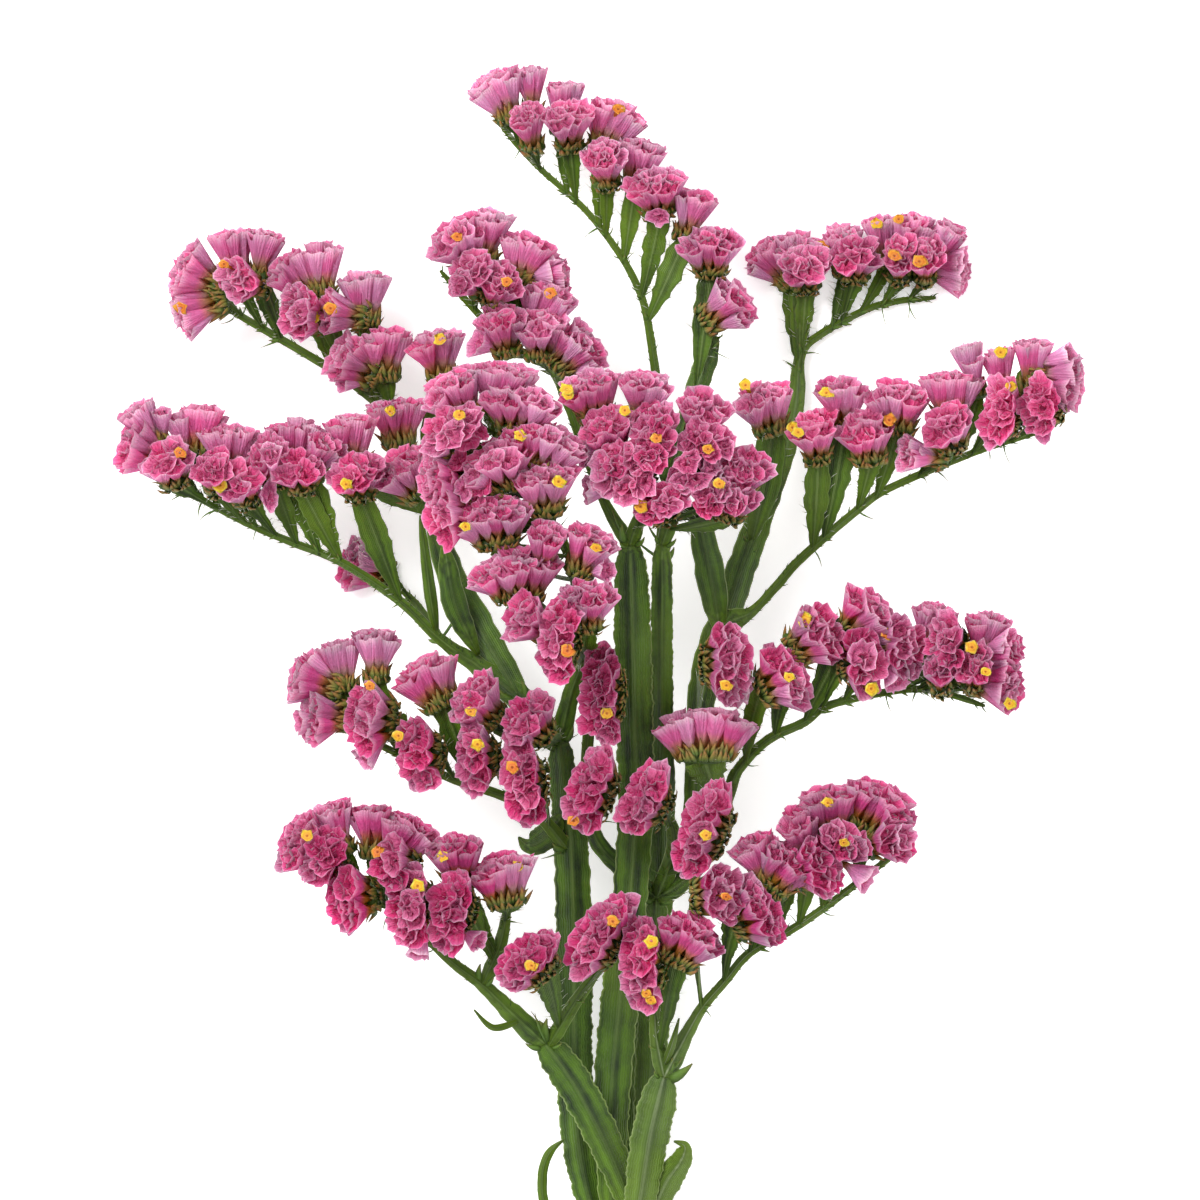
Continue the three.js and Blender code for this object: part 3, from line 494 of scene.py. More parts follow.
print("tools for materials:", [tool.__name__ for tool in (ramp, span, blend, noise, finish_leafy)])

# %% [markdown]
# ## Winged stems
# The stem is a strap: a rib down the middle and a thin wing on each side, with a crinkled edge. One
# closed section is carried along the route. Across the strap it is thick at the rib and thin at the
# wings; along it the wings wave up and down, and their edges go in and out.
#
# The wings let light through, so the finish mixes a translucent share into the green, and patches of
# light shining through are painted on. Fine veins run lengthwise; the rib is paler, partly with a
# painted sheen, and has painted shade beside it; and the edge is a thin light line, partly a painted
# highlight.

# %% The green of stems
# The yellow-green of young growth, which also paints the patches of light that shine through the wings.
YOUNG_AND_LIT_GREEN = (118, 148, 26)
STREAK_ACROSS, STREAK_ALONG, STREAK_SHIFT = 4.5, 2.6, 9.0
SPOT_SCALE, LIT_PATCH_SCALE, SHAKE_SCALE, GRAIN_SCALE = 150.0, 26.0, 90.0, 900.0
VEIN_TURNS = 95.0
# A band starts and ends at these distances from the rib, in widths, and takes these shares of its colour.
# Partly the rib's own paler green and partly a painted sheen along it.
PALE_RIB_AND_SHEEN_BAND = (0.01, 0.08, 0.7, 0.0)
# Painted shade beside the raised rib.
RIB_SHADOW_BAND = (0.07, 0.20, 0.32, 0.0)
# Partly a pale margin and partly a painted highlight along the edge.
PALE_EDGE_AND_HIGHLIGHT_BAND = (0.45, 0.5, 0.0, 0.6)

def green_finish(name, dark_and_shade, fair, rib, edge, through):
    """Green in long streaks between two greens, partly the stem's own streaks and partly painted light and
    shade of its folds, with painted patches of light shining through in a yellower green, and yellower all
    over where the piece's own tone is high. The rib is paler, partly its own green and partly a painted
    sheen, with painted shade beside it, and the edge has a light line, partly a pale margin and partly a
    painted highlight."""
    material = new_material(name)
    across, along = surface_uv(material)
    place = own_place(material)
    tone = own_value(material, "tone")
    lane = node(material, "CombineXYZ", {0: maths(material, "MULTIPLY", across, STREAK_ACROSS),
                                         1: maths(material, "MULTIPLY", along, STREAK_ALONG),
                                         2: maths(material, "MULTIPLY", tone, STREAK_SHIFT)}).outputs[0]
    # The streaks are partly the stem's own streaky green and partly painted light and shade of its folds,
    # between a dark green and a fair one.
    streaks = noise(material, lane, 1.0, 1.0)
    spots = noise(material, place, SPOT_SCALE, 4.0)
    mixed = maths(material, "MULTIPLY_ADD", streaks, 0.65, maths(material, "MULTIPLY", spots, 0.35))
    colour = ramp(material, mixed, [(0.36, dark_and_shade), (0.62, fair)])
    # Painted light: noise patches of light shining through the wings, in the yellow-green of young growth.
    patches = span(material, noise(material, place, LIT_PATCH_SCALE, 1.0), 0.50, 0.72, 0.0, 0.45)
    colour = blend(material, patches, colour, paint(*YOUNG_AND_LIT_GREEN))
    colour = blend(material, maths(material, "MULTIPLY", tone, 0.75), colour, paint(*YOUNG_AND_LIT_GREEN))
    shake = maths(material, "MULTIPLY", noise(material, place, SHAKE_SCALE), 0.05)
    shaken = maths(material, "ADD", across, shake)
    veins = maths(material, "SINE", maths(material, "MULTIPLY", shaken, VEIN_TURNS))
    colour = blend(material, maths(material, "MULTIPLY_ADD", veins, 0.04, 0.04), colour, paint(*rib))
    from_rib = maths(material, "ABSOLUTE", maths(material, "SUBTRACT", across, 0.5))
    # Painted shade: a dark band on both sides of the rib, where the rib's shadow would fall.
    colour = blend(material, span(material, from_rib, *RIB_SHADOW_BAND), colour, paint(*dark_and_shade))
    # The pale rib is partly its own colour and partly a painted sheen, broken along by the streaks.
    broken = span(material, streaks, 0.35, 0.65, 0.35, 1.0)
    pale_rib_and_sheen_share = maths(material, "MULTIPLY", span(material, from_rib, *PALE_RIB_AND_SHEEN_BAND), broken)
    colour = blend(material, pale_rib_and_sheen_share, colour, paint(*rib))
    # The light edge line is partly a pale margin and partly a painted highlight.
    colour = blend(material, span(material, from_rib, *PALE_EDGE_AND_HIGHLIGHT_BAND), colour, paint(*edge))
    grain = noise(material, place, GRAIN_SCALE)
    grain = maths(material, "ADD", maths(material, "MULTIPLY", veins, 0.2), grain)
    return finish_leafy(material, colour, 0.42, grain, 0.3, through)

# Colours: dark green, also used for painted shade; fair green; rib green, partly a painted sheen; edge
# line, partly a painted highlight.
stem_green = green_finish("winged_stem_green", (20, 44, 4), (86, 122, 22), (118, 144, 74),
                          (176, 194, 118), 0.34)
pale_green = green_finish("pale_stem_green", (28, 54, 8), (80, 110, 38), (166, 180, 136),
                          (166, 182, 118), 0.3)
print("two greens:", stem_green.name, pale_green.name)

# %% Flat sections
def bell(distance, width):
    """A bell curve: e to the power of minus the square of distance over width."""
    return np.exp(-(distance / width) ** 2)

def rounded(turn, power):
    """How far above or below its middle a flat section's point lies: the sine's sign times its power."""
    return np.sign(np.sin(turn)) * np.abs(np.sin(turn)) ** power

def flat_uv(sides):
    """How far across a flat section each corner lies, from 1 to 0 and back: half a cosine and a half."""
    return np.cos(2 * np.pi * np.arange(sides + 1) / sides) / 2 + 0.5

def carry(places, side, up, aside, above):
    """A section carried along a line: each place, plus so far along its side way and along its up way."""
    return places[:, None] + side[:, None] * aside[..., None] + up[:, None] * above[..., None]

UV_LENGTH = 100  # mm along a stem for 1 in the UV map
print("across a flat section of eight points:", flat_uv(8).round(2))

# %% The winged strap
RIB_LEAST, RIB_SHARE, RIB_MOST, RIB_BELL = 0.5, 0.42, 3.8, 0.30
VEIN_AT, VEIN_BELL, VEIN_SHARE = 0.6, 0.12, 0.03
EDGE_THICK, EDGE_SHARE, EDGE_ROUND = 0.45, 0.2, 0.4
SHOULDER, WAIST, WIDTH_LEAST = 6.0, 0.45, 0.5
JAG, JAG_FULL, FLUTTER = 0.095, 6, 0.06
FOLD, TWIST = 0.28, 0.3
EDGE_WAVES, ROLL_WAVES = (9.5, 5.3, 2.3), (90, 55)
YOUNG_WIDTH, YOUNG_MOST, YOUNG_DRAW = 5.5, 0.75, 0.35
SECTION, ARM_SECTION = 24, 16
STEM_STEPS, ARM_STEPS = 26, 8

def strap_line(rows, steps, branch):
    """The middle line, the distance along it, its side and up ways and the strap's width, which grows from
    a waist as the root of the distance to the fork, and on a branch to either end."""
    stops = smooth(rows, steps)
    places = on_board(stops, SHIFT)
    distance = travelled(places)
    way = unit(np.gradient(places, axis=0))
    side = unit(np.stack([way[:, 1], -way[:, 0], np.zeros(len(way))], -1))
    up = np.cross(side, way)
    to_end = distance[-1] - distance
    to_end = np.minimum(to_end, distance) if branch else to_end
    waist = WAIST + (1 - WAIST) * np.sqrt(np.clip(to_end / SHOULDER, 0, 1))
    return places, distance, side, up, np.maximum(stops[:, 3] * waist, WIDTH_LEAST)[:, None]

def strap(rows, steps, seed, branch=False):
    """A closed section carried along the route. A point of it lies cos(a) of the half width across, and
    above or below the strap by half its thickness there: the edge's, plus the rib's as a bell curve of the
    distance from the middle, plus a low vein on each wing. The wings fold back from the rib a little, and
    the whole strap rolls slowly."""
    sides = ARM_SECTION if branch else SECTION
    places, distance, side, up, width = strap_line(rows, steps, branch)
    turn = -2 * np.pi * np.arange(sides) / sides
    across = np.cos(turn)[None]
    rib = np.minimum(width * RIB_SHARE + RIB_LEAST, RIB_MOST) / 2
    edge = np.minimum(EDGE_THICK, width * EDGE_SHARE)
    low_vein = bell(np.abs(across) - VEIN_AT, VEIN_BELL)
    thick = edge + (rib - edge) * bell(across, RIB_BELL) + VEIN_SHARE * width * low_vein
    left, right = (wave(distance, EDGE_WAVES, seed + k)[:, None] for k in (0, 1))
    jag = 1 + JAG * np.where(across < 0, left, right) * np.minimum(width / JAG_FULL, 1)
    lift = FLUTTER * width * across ** 2 * np.where(across < 0, right, left)
    roll = wave(distance, ROLL_WAVES, seed + 2)[:, None]
    lift = lift + width / 2 * (TWIST * across * roll - FOLD * np.abs(across))
    above = thick * rounded(turn, EDGE_ROUND)[None] + lift
    points = carry(places, side, up, across * width / 2 * jag, above)
    own = np.random.default_rng(seed + 3).uniform(0, YOUNG_DRAW)
    tone = np.clip(own + YOUNG_MOST * (1 - width / YOUNG_WIDTH), 0, 1)
    return (points.reshape(-1, 3), closed_faces(len(places), sides),
            closed_uv(flat_uv(sides), distance / UV_LENGTH), {"tone": np.repeat(tone, sides)})

GREEN_OF = {"front_right": pale_green}
for number, (name, stem) in enumerate(STEMS.items()):
    straps = [strap(stem["route"], STEM_STEPS, 100 * number)]
    branches = stem["arms"] + stem.get("leaves", [])
    straps += [strap(rows, ARM_STEPS, 100 * number + 7 * k, True) for k, rows in enumerate(branches, 1)]
    dress(name, "wings", gather(straps), GREEN_OF.get(name, stem_green))

# %% [markdown]
# ## Where each spike stands
# A spike is a short comb. `facing` is the way its cups open on the board, counted from +X, and `rise` is
# how far that way points up. From these come three directions: out of the comb, along it and across it.
# Its stalk slants up from the nearest arm, and leaves it almost as far down as the spike stands off it.
#
# The upper spikes are fairer, and the lower ones lie in the shade of the bunch, which is painted on: their
# cups are darkened. So each spike also keeps how fair it is and how much painted shade darkens it.

# %% Frames of the spikes
CUP_LENGTH, FOOT_BACK = 12.5, 0.7
FACING_LIFT = 14
COMB_ARCH, COMB_FOOT, FOOT_ARCH = 0.16, 0.42, 0.6
BOAT_DEPTH = 3.2
STALK_WIDE, STALK_WIDEST, STALK_BACK, STALK_BEND = 0.3, 8, 0.85, 0.62
ROOT_STEPS = 5
FAIR_FROM_TO, FAIR = (100, 900), (0.38, 0.0)
# Painted shade: how much darker the cups of lower spikes are painted, between two board heights.
SHADE_FROM_TO, SHADE_DROP = (450, 800), (0.0, -0.45)

class Spike:
    """One spike's length, directions and foot. `place` gives the point u along, v across and w out."""

    def __init__(self, row, height):
        x, y, self.length, facing, rise, lift = (*row, 0)[:6]
        facing, rise = np.radians([facing, rise])
        self.out = np.array([np.cos(facing) * np.cos(rise), np.sin(facing) * np.cos(rise), np.sin(rise)])
        self.along = np.array([np.sin(facing), -np.cos(facing), 0])
        self.across = np.cross(self.out, self.along)
        middle = on_board([x, y, height + FACING_LIFT * np.sin(rise) + lift], SHIFT)
        self.foot = middle - self.out * CUP_LENGTH * FOOT_BACK
        self.reach = self.length * COMB_FOOT / 2
        self.fair = np.interp(y, FAIR_FROM_TO, FAIR)
        # Painted shade: the lower a spike lies on the board, the darker its cups are painted.
        self.light = np.interp(y, SHADE_FROM_TO, SHADE_DROP)

    def drop(self, u):
        """How far the comb arches down at u: a parabola, with COMB_ARCH of the length at both ends."""
        return COMB_ARCH * self.length * (2 * u / self.length) ** 2

    def place(self, u, v, w):
        """The foot plus u, v and w times the spike's three directions."""
        u, v, w = np.broadcast_arrays(u, v, w)
        return self.foot + u[..., None] * self.along + v[..., None] * self.across + w[..., None] * self.out

    def grow_from(self, arms):
        """The stalk's root: the nearest of the arms' stops, and then STALK_BACK of the gap back down that
        arm."""
        self.base = self.place(0, 0, -BOAT_DEPTH - self.drop(self.reach) * FOOT_ARCH)
        gaps = [np.linalg.norm(stops - self.base, axis=1) for stops in arms]
        nearest = int(np.argmin([gap.min() for gap in gaps]))
        stops, i = arms[nearest], int(np.argmin(gaps[nearest]))
        self.gap = gaps[nearest][i]
        back = self.gap * STALK_BACK
        while i > 0 and back > 0:
            back -= np.linalg.norm(stops[i] - stops[i - 1])
            i -= 1
        self.root = stops[i]
        self.arm_way = unit(stops[min(i + 1, len(stops) - 1)] - stops[max(i - 1, 0)])

def arm_stops(rows):
    """The places on an arm where a stalk may leave: a few between each two of its rows."""
    places = on_board(rows, SHIFT)
    share = np.arange(1, ROOT_STEPS + 1)[None, :, None] / ROOT_STEPS
    between = places[:-1, None] + (places[1:] - places[:-1])[:, None] * share
    return np.vstack([places[:1], between.reshape(-1, 3)])

spikes = {}
for name, spray in SPRAYS.items():
    arms = [arm_stops(rows) for rows in STEMS[spray["stem"]]["arms"]]
    spikes[name] = [Spike(row, spray["height"]) for row in spray["spikes"]]
    for spike in spikes[name]:
        spike.grow_from(arms)
print(sum(map(len, spikes.values())), "spikes in", len(spikes), "sprays")

# %% [markdown]
# ## Leafy stalks and boats
# A stalk is a blade that widens towards the spike, so from the front it looks like a narrow leaf. At its
# top a slim boat holds the feet of the cups. Both are closed rings carried along a line, as the stems are.

# %% Stalks
stalk_green = green_finish("leafy_stalk_green", (20, 44, 4), (88, 124, 24), (124, 146, 80),
                           (152, 174, 96), 0.32)
STALK_RINGS, STALK_SIDES = 19, 12
STALK_SINK, STALK_INTO, STALK_BOW = 0.6, 1.2, 0.10
STALK_AT = (0, 0.25, STALK_BEND, 0.85, 1)
STALK_ROOT, STALK_FULL, STALK_TOP, TOP_LEAST = 1.1, 1.35, 1.85, 2.6
STALK_JAG, STALK_WAVES = 0.16, (6.5, 3.4, 2.1)
STALK_EDGE, STALK_RIB, STALK_BELL, STALK_ROUND, STALK_CUP = 0.25, 0.45, 0.3, 0.5, 0.10

def stalk(spike, seed):
    """Rings along a shallow bow from the arm to the boat; the width follows five points and the section
    is a lens with a low rib. The spike keeps the stalk's edges and middle line for its bristles."""
    t = np.linspace(0, 1, STALK_RINGS)[:, None]
    start = spike.root - unit(spike.base - spike.root) * STALK_SINK
    end = spike.base + spike.out * STALK_INTO
    bow = (start + end) / 2 - spike.out * STALK_BOW * spike.gap
    places = (1 - t) ** 2 * start + 2 * t * (1 - t) * bow + t ** 2 * end
    distance = travelled(places)
    way = unit(np.gradient(places, axis=0))
    side = unit(spike.along - way * (way @ spike.along)[:, None])
    up = np.cross(side, way)
    widest = min(spike.gap * STALK_WIDE, STALK_WIDEST) * STALK_FULL
    top = max(spike.reach * STALK_TOP, TOP_LEAST)
    width = np.interp(t[:, 0], STALK_AT, (STALK_ROOT, widest * 0.5, widest, max(widest, top) * 0.95, top))
    width = width[:, None] * (1 + STALK_JAG * wave(distance, STALK_WAVES, seed)[:, None])
    turn = -2 * np.pi * np.arange(STALK_SIDES) / STALK_SIDES
    across = np.cos(turn)[None]
    thick = STALK_EDGE + STALK_RIB * bell(across, STALK_BELL)
    cup = STALK_CUP * width * across ** 2
    points = carry(places, side, up, across * width / 2, thick * rounded(turn, STALK_ROUND)[None] + cup)
    spike.stalk_edges = points[:, [0, STALK_SIDES // 2]]
    spike.stalk_line = places
    tone = np.random.default_rng(seed).uniform(0, 0.45)
    return (points.reshape(-1, 3), closed_faces(STALK_RINGS, STALK_SIDES),
            closed_uv(flat_uv(STALK_SIDES), distance / UV_LENGTH),
            {"tone": np.full(STALK_RINGS * STALK_SIDES, tone)})

# %% Boats
HULL_RINGS, HULL_SIDES = 9, 8
HULL_HALF, HULL_DEEP, HULL_TOP, HULL_LEVEL, HULL_PAST = 2.4, 2.8, 0.6, -0.8, 1.8
HULL_LEAST, HULL_TONE = 0.2, 0.1
# The boat's part of the stalk's finish: across, along, and one value for its ends.
HULL_ACROSS, HULL_ALONG, HULL_ENDS = (0.2, 0.4), (0, 0.1), 0.3

def fullness(spike, u):
    """How full the boat is at u: 1 in the middle, and a fifth at its ends."""
    return np.maximum(np.sqrt(np.maximum(1 - (u / (spike.reach + HULL_PAST)) ** 2, 0)), HULL_LEAST)

def keel(spike, u):
    """The level of the boat's middle line at u, which arches as the cups' feet do."""
    return HULL_LEVEL - spike.drop(u) * FOOT_ARCH

def hull(spike):
    """The boat: rings across the comb from end to end, deep in the middle and closed at both ends."""
    turn = 2 * np.pi * np.arange(HULL_SIDES)[None] / HULL_SIDES
    u = np.linspace(-1, 1, HULL_RINGS)[:, None] * (spike.reach + HULL_PAST)
    full = fullness(spike, u)
    v = HULL_HALF * full * np.cos(turn)
    w = keel(spike, u) + HULL_DEEP * full * np.sin(turn) * np.where(np.sin(turn) > 0, HULL_TOP, 1)
    points = spike.place(u * np.ones_like(turn), v, w)
    across, along = np.linspace(*HULL_ACROSS, HULL_SIDES + 1), np.linspace(*HULL_ALONG, HULL_RINGS)
    return (points.reshape(-1, 3), closed_faces(HULL_RINGS, HULL_SIDES),
            closed_uv(across, along, HULL_ENDS), {"tone": np.full(HULL_RINGS * HULL_SIDES, HULL_TONE)})

def spikes_of(stem):
    """The spikes of all the sprays on a stem."""
    return [spike for name, spray in SPRAYS.items() if spray["stem"] == stem for spike in spikes[name]]

for name in STEMS:
    grown = spikes_of(name)
    parts = [stalk(spike, 900 + k) for k, spike in enumerate(grown)] + [hull(spike) for spike in grown]
    dress(name, "stalks", gather(parts), stalk_green)

# %% [markdown]
# ## Bracts
# The boat's sides are rows of narrow pointed bracts, green at the foot with a dry brown tip, which stand
# up against the tubes of the cups. There are more than five thousand, so each has only a few faces: five
# rings of four points, pinched to a tip. All of a stem's bracts are worked out in one array.

# %% The finish of bracts
def bract_finish(name, foot, middle, tip, young):
    """Green at the foot and brown towards the tip, by the place along the bract, with some in a young
    green by their own tone."""
    material = new_material(name)
    along = surface_uv(material)[1]
    colour = ramp(material, along, [(0.0, (40, 64, 16)), (0.35, foot), (0.60, middle), (0.82, tip),
                                    (1.0, (88, 46, 30))])
    tone = own_value(material, "tone")
    colour = blend(material, maths(material, "MULTIPLY", tone, 0.45), colour, paint(*young))
    return finish_leafy(material, colour, 0.6, noise(material, own_place(material), 1800.0), 0.2, 0.12)

bract_green = bract_finish("bract_green_and_brown", (72, 94, 28), (124, 110, 42), (144, 92, 44),
                           (104, 122, 62))
scale_green = bract_finish("scale_green", (64, 94, 26), (80, 106, 34), (100, 96, 42), (96, 128, 40))
print("two finishes:", bract_green.name, scale_green.name)

# %% A blade, worked out for many at once
def blades(foot, middle, tip, side, half, thin, tone, sides=4):
    """Closed blades, each bent from its foot by its middle to its tip (a quadratic curve), broad along its
    side direction. `half` and `thin` are half the width and half the thickness of its rings."""
    rings = half.shape[-1]
    t = np.linspace(0, 1, rings)[None, :, None]
    foot, middle, tip, side = (part[:, None] for part in (foot, middle, tip, side))
    line = (1 - t) ** 2 * foot + 2 * t * (1 - t) * (2 * middle - (foot + tip) / 2) + t ** 2 * tip
    way = unit(np.gradient(line, axis=1))
    flat = unit(side - way * np.sum(side * way, -1, keepdims=True))
    up = np.cross(way, flat)
    turn = 2 * np.pi * np.arange(sides) / sides
    points = (line[:, :, None] + flat[:, :, None] * (half[..., None] * np.cos(turn))[..., None]
              + up[:, :, None] * (thin[..., None] * np.sin(turn))[..., None])
    count, each = len(points), rings * sides
    body = repeat_faces(tube_faces(rings, sides), count, each)
    ends = np.array([np.arange(sides)[::-1], each - sides + np.arange(sides)])
    uv = np.tile(tube_uv(np.linspace(0, 1, sides + 1), t[0, :, 0]), (count, 1, 1))
    end_uv = np.tile(np.array([[[0.5, 0.0]] * sides, [[0.5, 1.0]] * sides]), (count, 1, 1))
    return (points.reshape(-1, 3), [body, repeat_faces(ends, count, each)], [uv, end_uv],
            {"tone": np.repeat(tone, each)})

print("a blade of five rings has", 2 * len(tube_faces(5, 4)) + 4, "triangles")

# %% Rows of bracts
# Pitch of a row, how deep on the boat it starts, the levels of its middle and tip, and how far out its
# foot, middle and tip stand, as shares of the boat's half width.
BRACT_ROWS = (
    {"pitch": 1.05, "under": 0.2, "middle": 1.4, "tip": 4.0, "out": (0.8, 1.15, 1.2)},
    {"pitch": 1.15, "under": 0.7, "middle": -0.9, "tip": 1.8, "out": (0.6, 1.3, 1.55)},
)
BRACT_SIZE, BRACT_SPREAD, FOOT_SHAKE, TIP_SHAKE = (0.6, 1.35), (0.75, 1.35), 0.5, 1.3
BRACT_CLEAR, BRACT_PAST, BRACT_RINGS = 0.12, 0.6, 5
MIDDLE_FAN, TIP_FAN, END_FAN = 1.12, 1.3, 0.2

def bract_rows(spike, rng):
    """Foot, middle, tip, side and size of each bract: two rows along both sides of the boat, an inner one
    up the tubes and an outer one over its feet, with a bract of each at both ends."""
    found = []
    for row in BRACT_ROWS:
        count = max(2, int(round(2 * spike.reach / row["pitch"])) + 1)
        u = np.tile(np.linspace(-1, 1, count) * spike.reach, 2)
        u = u + rng.uniform(-FOOT_SHAKE, FOOT_SHAKE, 2 * count)
        past = spike.reach + BRACT_PAST
        u, v = np.append(u, [-past, past]), np.append(np.repeat([-1.0, 1.0], count), [0.0, 0.0])
        full, level = fullness(spike, u), keel(spike, u)
        size, spread = rng.uniform(*BRACT_SIZE, len(u)), rng.uniform(*BRACT_SPREAD, len(u))
        near, mid, far = (v * HULL_HALF * (full * share + BRACT_CLEAR) for share in row["out"])
        foot = spike.place(u, near, level - HULL_DEEP * full * row["under"])
        middle = spike.place(u * MIDDLE_FAN, mid * np.sqrt(spread), level + row["middle"])
        fanned = u * (TIP_FAN + END_FAN * (v == 0))
        tip = spike.place(fanned + rng.uniform(-TIP_SHAKE, TIP_SHAKE, len(u)), far * spread,
                          level + row["tip"] * size)
        found.append((foot, middle, tip, np.tile(spike.along, (len(u), 1)), size))
    return [np.concatenate(column) for column in zip(*found)]

def bracts_of(grown, seed):
    """The bracts of all these spikes, widest a third of the way up."""
    rng = np.random.default_rng(seed)
    foot, middle, tip, side, size = (np.concatenate(column) for column in
                                     zip(*[bract_rows(spike, rng) for spike in grown]))
    t = np.linspace(0, 1, BRACT_RINGS)
    half = np.interp(t, (0, 0.35, 0.75, 1), (0.5, 0.8, 0.48, 0.05)) * size[:, None]
    thin = np.interp(t, (0, 0.35, 1), (0.4, 0.28, 0.05)) * np.ones_like(half)
    return blades(foot, middle, tip, side, half, thin, rng.uniform(0, 1, len(foot)))

for number, name in enumerate(STEMS):
    dress(name, "bracts", bracts_of(spikes_of(name), 40 + number), bract_green)

# %% [markdown]
# ## Scales, threads and hairs
# Where a stalk leaves its arm sits a small pointed scale, and at most of them a thread-like leaf too. At
# every fork stand a pair of longer scales and a thin awl-shaped leaf, and small scales fringe both edges
# of the arms. Short pale bristles stand on the boats and along the stalks' edges.

# %% Small scales along an arm
FRINGE_PITCH, FRINGE_FROM, FRINGE_SHAKE = 1.1, 0.2, 0.9
FRINGE_LONG, FRINGE_HALF = (0.9, 2.9), (0.14, 0.3)

def fringe(rows, rng):
    """Foot, middle, tip, side, half width and tone of the small pointed scales at both edges of an arm, one
    for each pitch of its length."""
    stops = smooth(rows, ARM_STEPS)
    places = on_board(stops, SHIFT)
    distance = travelled(places)
    at = np.arange(FRINGE_FROM * distance[-1], distance[-1], FRINGE_PITCH)
    at = at + rng.uniform(-FRINGE_SHAKE, FRINGE_SHAKE, len(at))
    line, way = (np.stack([np.interp(at, distance, part[:, k]) for k in range(3)], -1)
                 for part in (places, np.gradient(places, distance, axis=0)))
    beside = unit(np.stack([way[:, 1], -way[:, 0], 0 * at], -1)) * rng.choice([-1, 1], (len(at), 1))
    foot = line + beside * (0.2 * np.interp(at, distance, stops[:, 3]))[:, None]
    lean = way * rng.uniform(0.6, 1.5, (len(at), 1)) + beside * rng.uniform(0.15, 0.8, (len(at), 1))
    lean[:, 2] += rng.uniform(-0.4, 0.5, len(at))
    tip = foot + unit(lean) * rng.uniform(*FRINGE_LONG, (len(at), 1))
    middle = (foot + tip) / 2 + beside * 0.25
    return foot, middle, tip, beside, rng.uniform(*FRINGE_HALF, len(at)), rng.uniform(0, 0.7, len(at))

print("the fringe has a scale every mm", FRINGE_PITCH)

# %% Scales at forks and at stalks
UP = np.array([0, 0, 1.0])
FORK_SCALE, FORK_SIZE, FORK_HALF = 4.2, (0.6, 1.9), 0.22
AWL_LONG, AWL_HALF = (6.0, 15.0), 0.5
ROOT_SCALE, ROOT_HALF = 3.2, 0.65
THREAD, THREAD_HALF, THREAD_SHARE = 6.5, 0.32, 0.7
SCALE_RINGS = 6

def scale(foot, tip, bend, beside, half, tone):
    """A scale's foot, middle, tip, side, half width and tone: its middle is bent away from the chord."""
    return foot, (foot + tip) / 2 + bend, tip, beside, half, tone

def fork_scales(rows, rng):
    """A scale on both sides of the place where an arm starts, and a long awl-shaped leaf from it."""
    places = on_board(rows, SHIFT)
    way = unit(places[1] - places[0])
    beside = unit(np.cross(way, UP))
    found = []
    for hand in (-1, 1):
        reach = FORK_SCALE * rng.uniform(*FORK_SIZE)
        foot = places[0] + hand * beside * rows[0][3] * 0.25
        tip = foot + (way + hand * beside * rng.uniform(0.15, 0.5) + UP * rng.uniform(0, 0.4)) * reach
        found.append(scale(foot, tip, hand * beside * 0.4, beside, FORK_HALF * reach, 0.9))
    hand = rng.choice([-1, 1])
    lean = way * rng.uniform(0.3, 1.0) + hand * beside * rng.uniform(0.3, 0.9) + UP * rng.uniform(0, 0.4)
    tip = places[0] + unit(lean) * rng.uniform(*AWL_LONG)
    found.append(scale(places[0], tip, hand * beside * 0.8, beside, AWL_HALF, 0.3))
    return found

def root_scales(spike, rng):
    """A scale where a stalk leaves its arm, and a thread at THREAD_SHARE of them."""
    way = spike.arm_way
    beside = unit(np.cross(way, UP))
    lean = way * rng.uniform(0.5, 1.0) + beside * rng.uniform(-0.9, 0.9) + UP * rng.uniform(0, 0.6)
    tip = spike.root + unit(lean) * ROOT_SCALE * rng.uniform(0.6, 1.3)
    found = [scale(spike.root, tip, UP * 0.3, beside, ROOT_HALF, 0.6)]
    if rng.uniform() < THREAD_SHARE:
        lean = way * rng.uniform(-0.3, 0.8) + beside * rng.choice([-1, 1]) + UP * rng.uniform(-0.2, 0.5)
        tip = spike.root + unit(lean) * THREAD * rng.uniform(0.5, 1.2)
        found.append(scale(spike.root, tip, way * rng.uniform(-1.2, 1.2), beside, THREAD_HALF, 0.9))
    return found

def scales_of(name, seed):
    """All the scales of a stem: at its forks, where its stalks leave, and along its arms."""
    rng = np.random.default_rng(seed)
    arms = STEMS[name]["arms"]
    single = [row for arm in arms for row in fork_scales(arm, rng)]
    single += [row for spike in spikes_of(name) for row in root_scales(spike, rng)]
    groups = [[np.array(column) for column in zip(*single)]] + [fringe(arm, rng) for arm in arms]
    foot, middle, tip, side, half, tone = (np.concatenate(column) for column in zip(*groups))
    t = np.linspace(0, 1, SCALE_RINGS)
    half = np.interp(t, (0, 0.3, 1), (0.8, 1.0, 0.12)) * half[:, None]
    thin = np.interp(t, (0, 1), (0.22, 0.05)) * np.ones_like(half)
    return blades(foot, middle, tip, side, half, thin, tone)

for number, name in enumerate(STEMS):
    dress(name, "scales", scales_of(name, 60 + number), scale_green)

# %% Pale bristles
BOAT_HAIRS, EDGE_HAIRS = 32, 14
HAIR_LONG, HAIR_THIN, HAIR_SIDES = 2.4, 0.08, 3
HAIR_PAST, HAIR_OUT, HAIR_LEVELS = 0.6, 1.3, (-2.6, 0.6)

def hair_finish():
    """Greenish at the root and nearly white at the tip."""
    material = new_material("pale_bristles")
    along = surface_uv(material)[1]
    colour = ramp(material, along, [(0.0, (130, 150, 100)), (0.5, (206, 212, 190)), (1.0, (228, 226, 212))])
    return finish_leafy(material, colour, 0.5, noise(material, own_place(material), 3000.0), 0.05, 0.2)

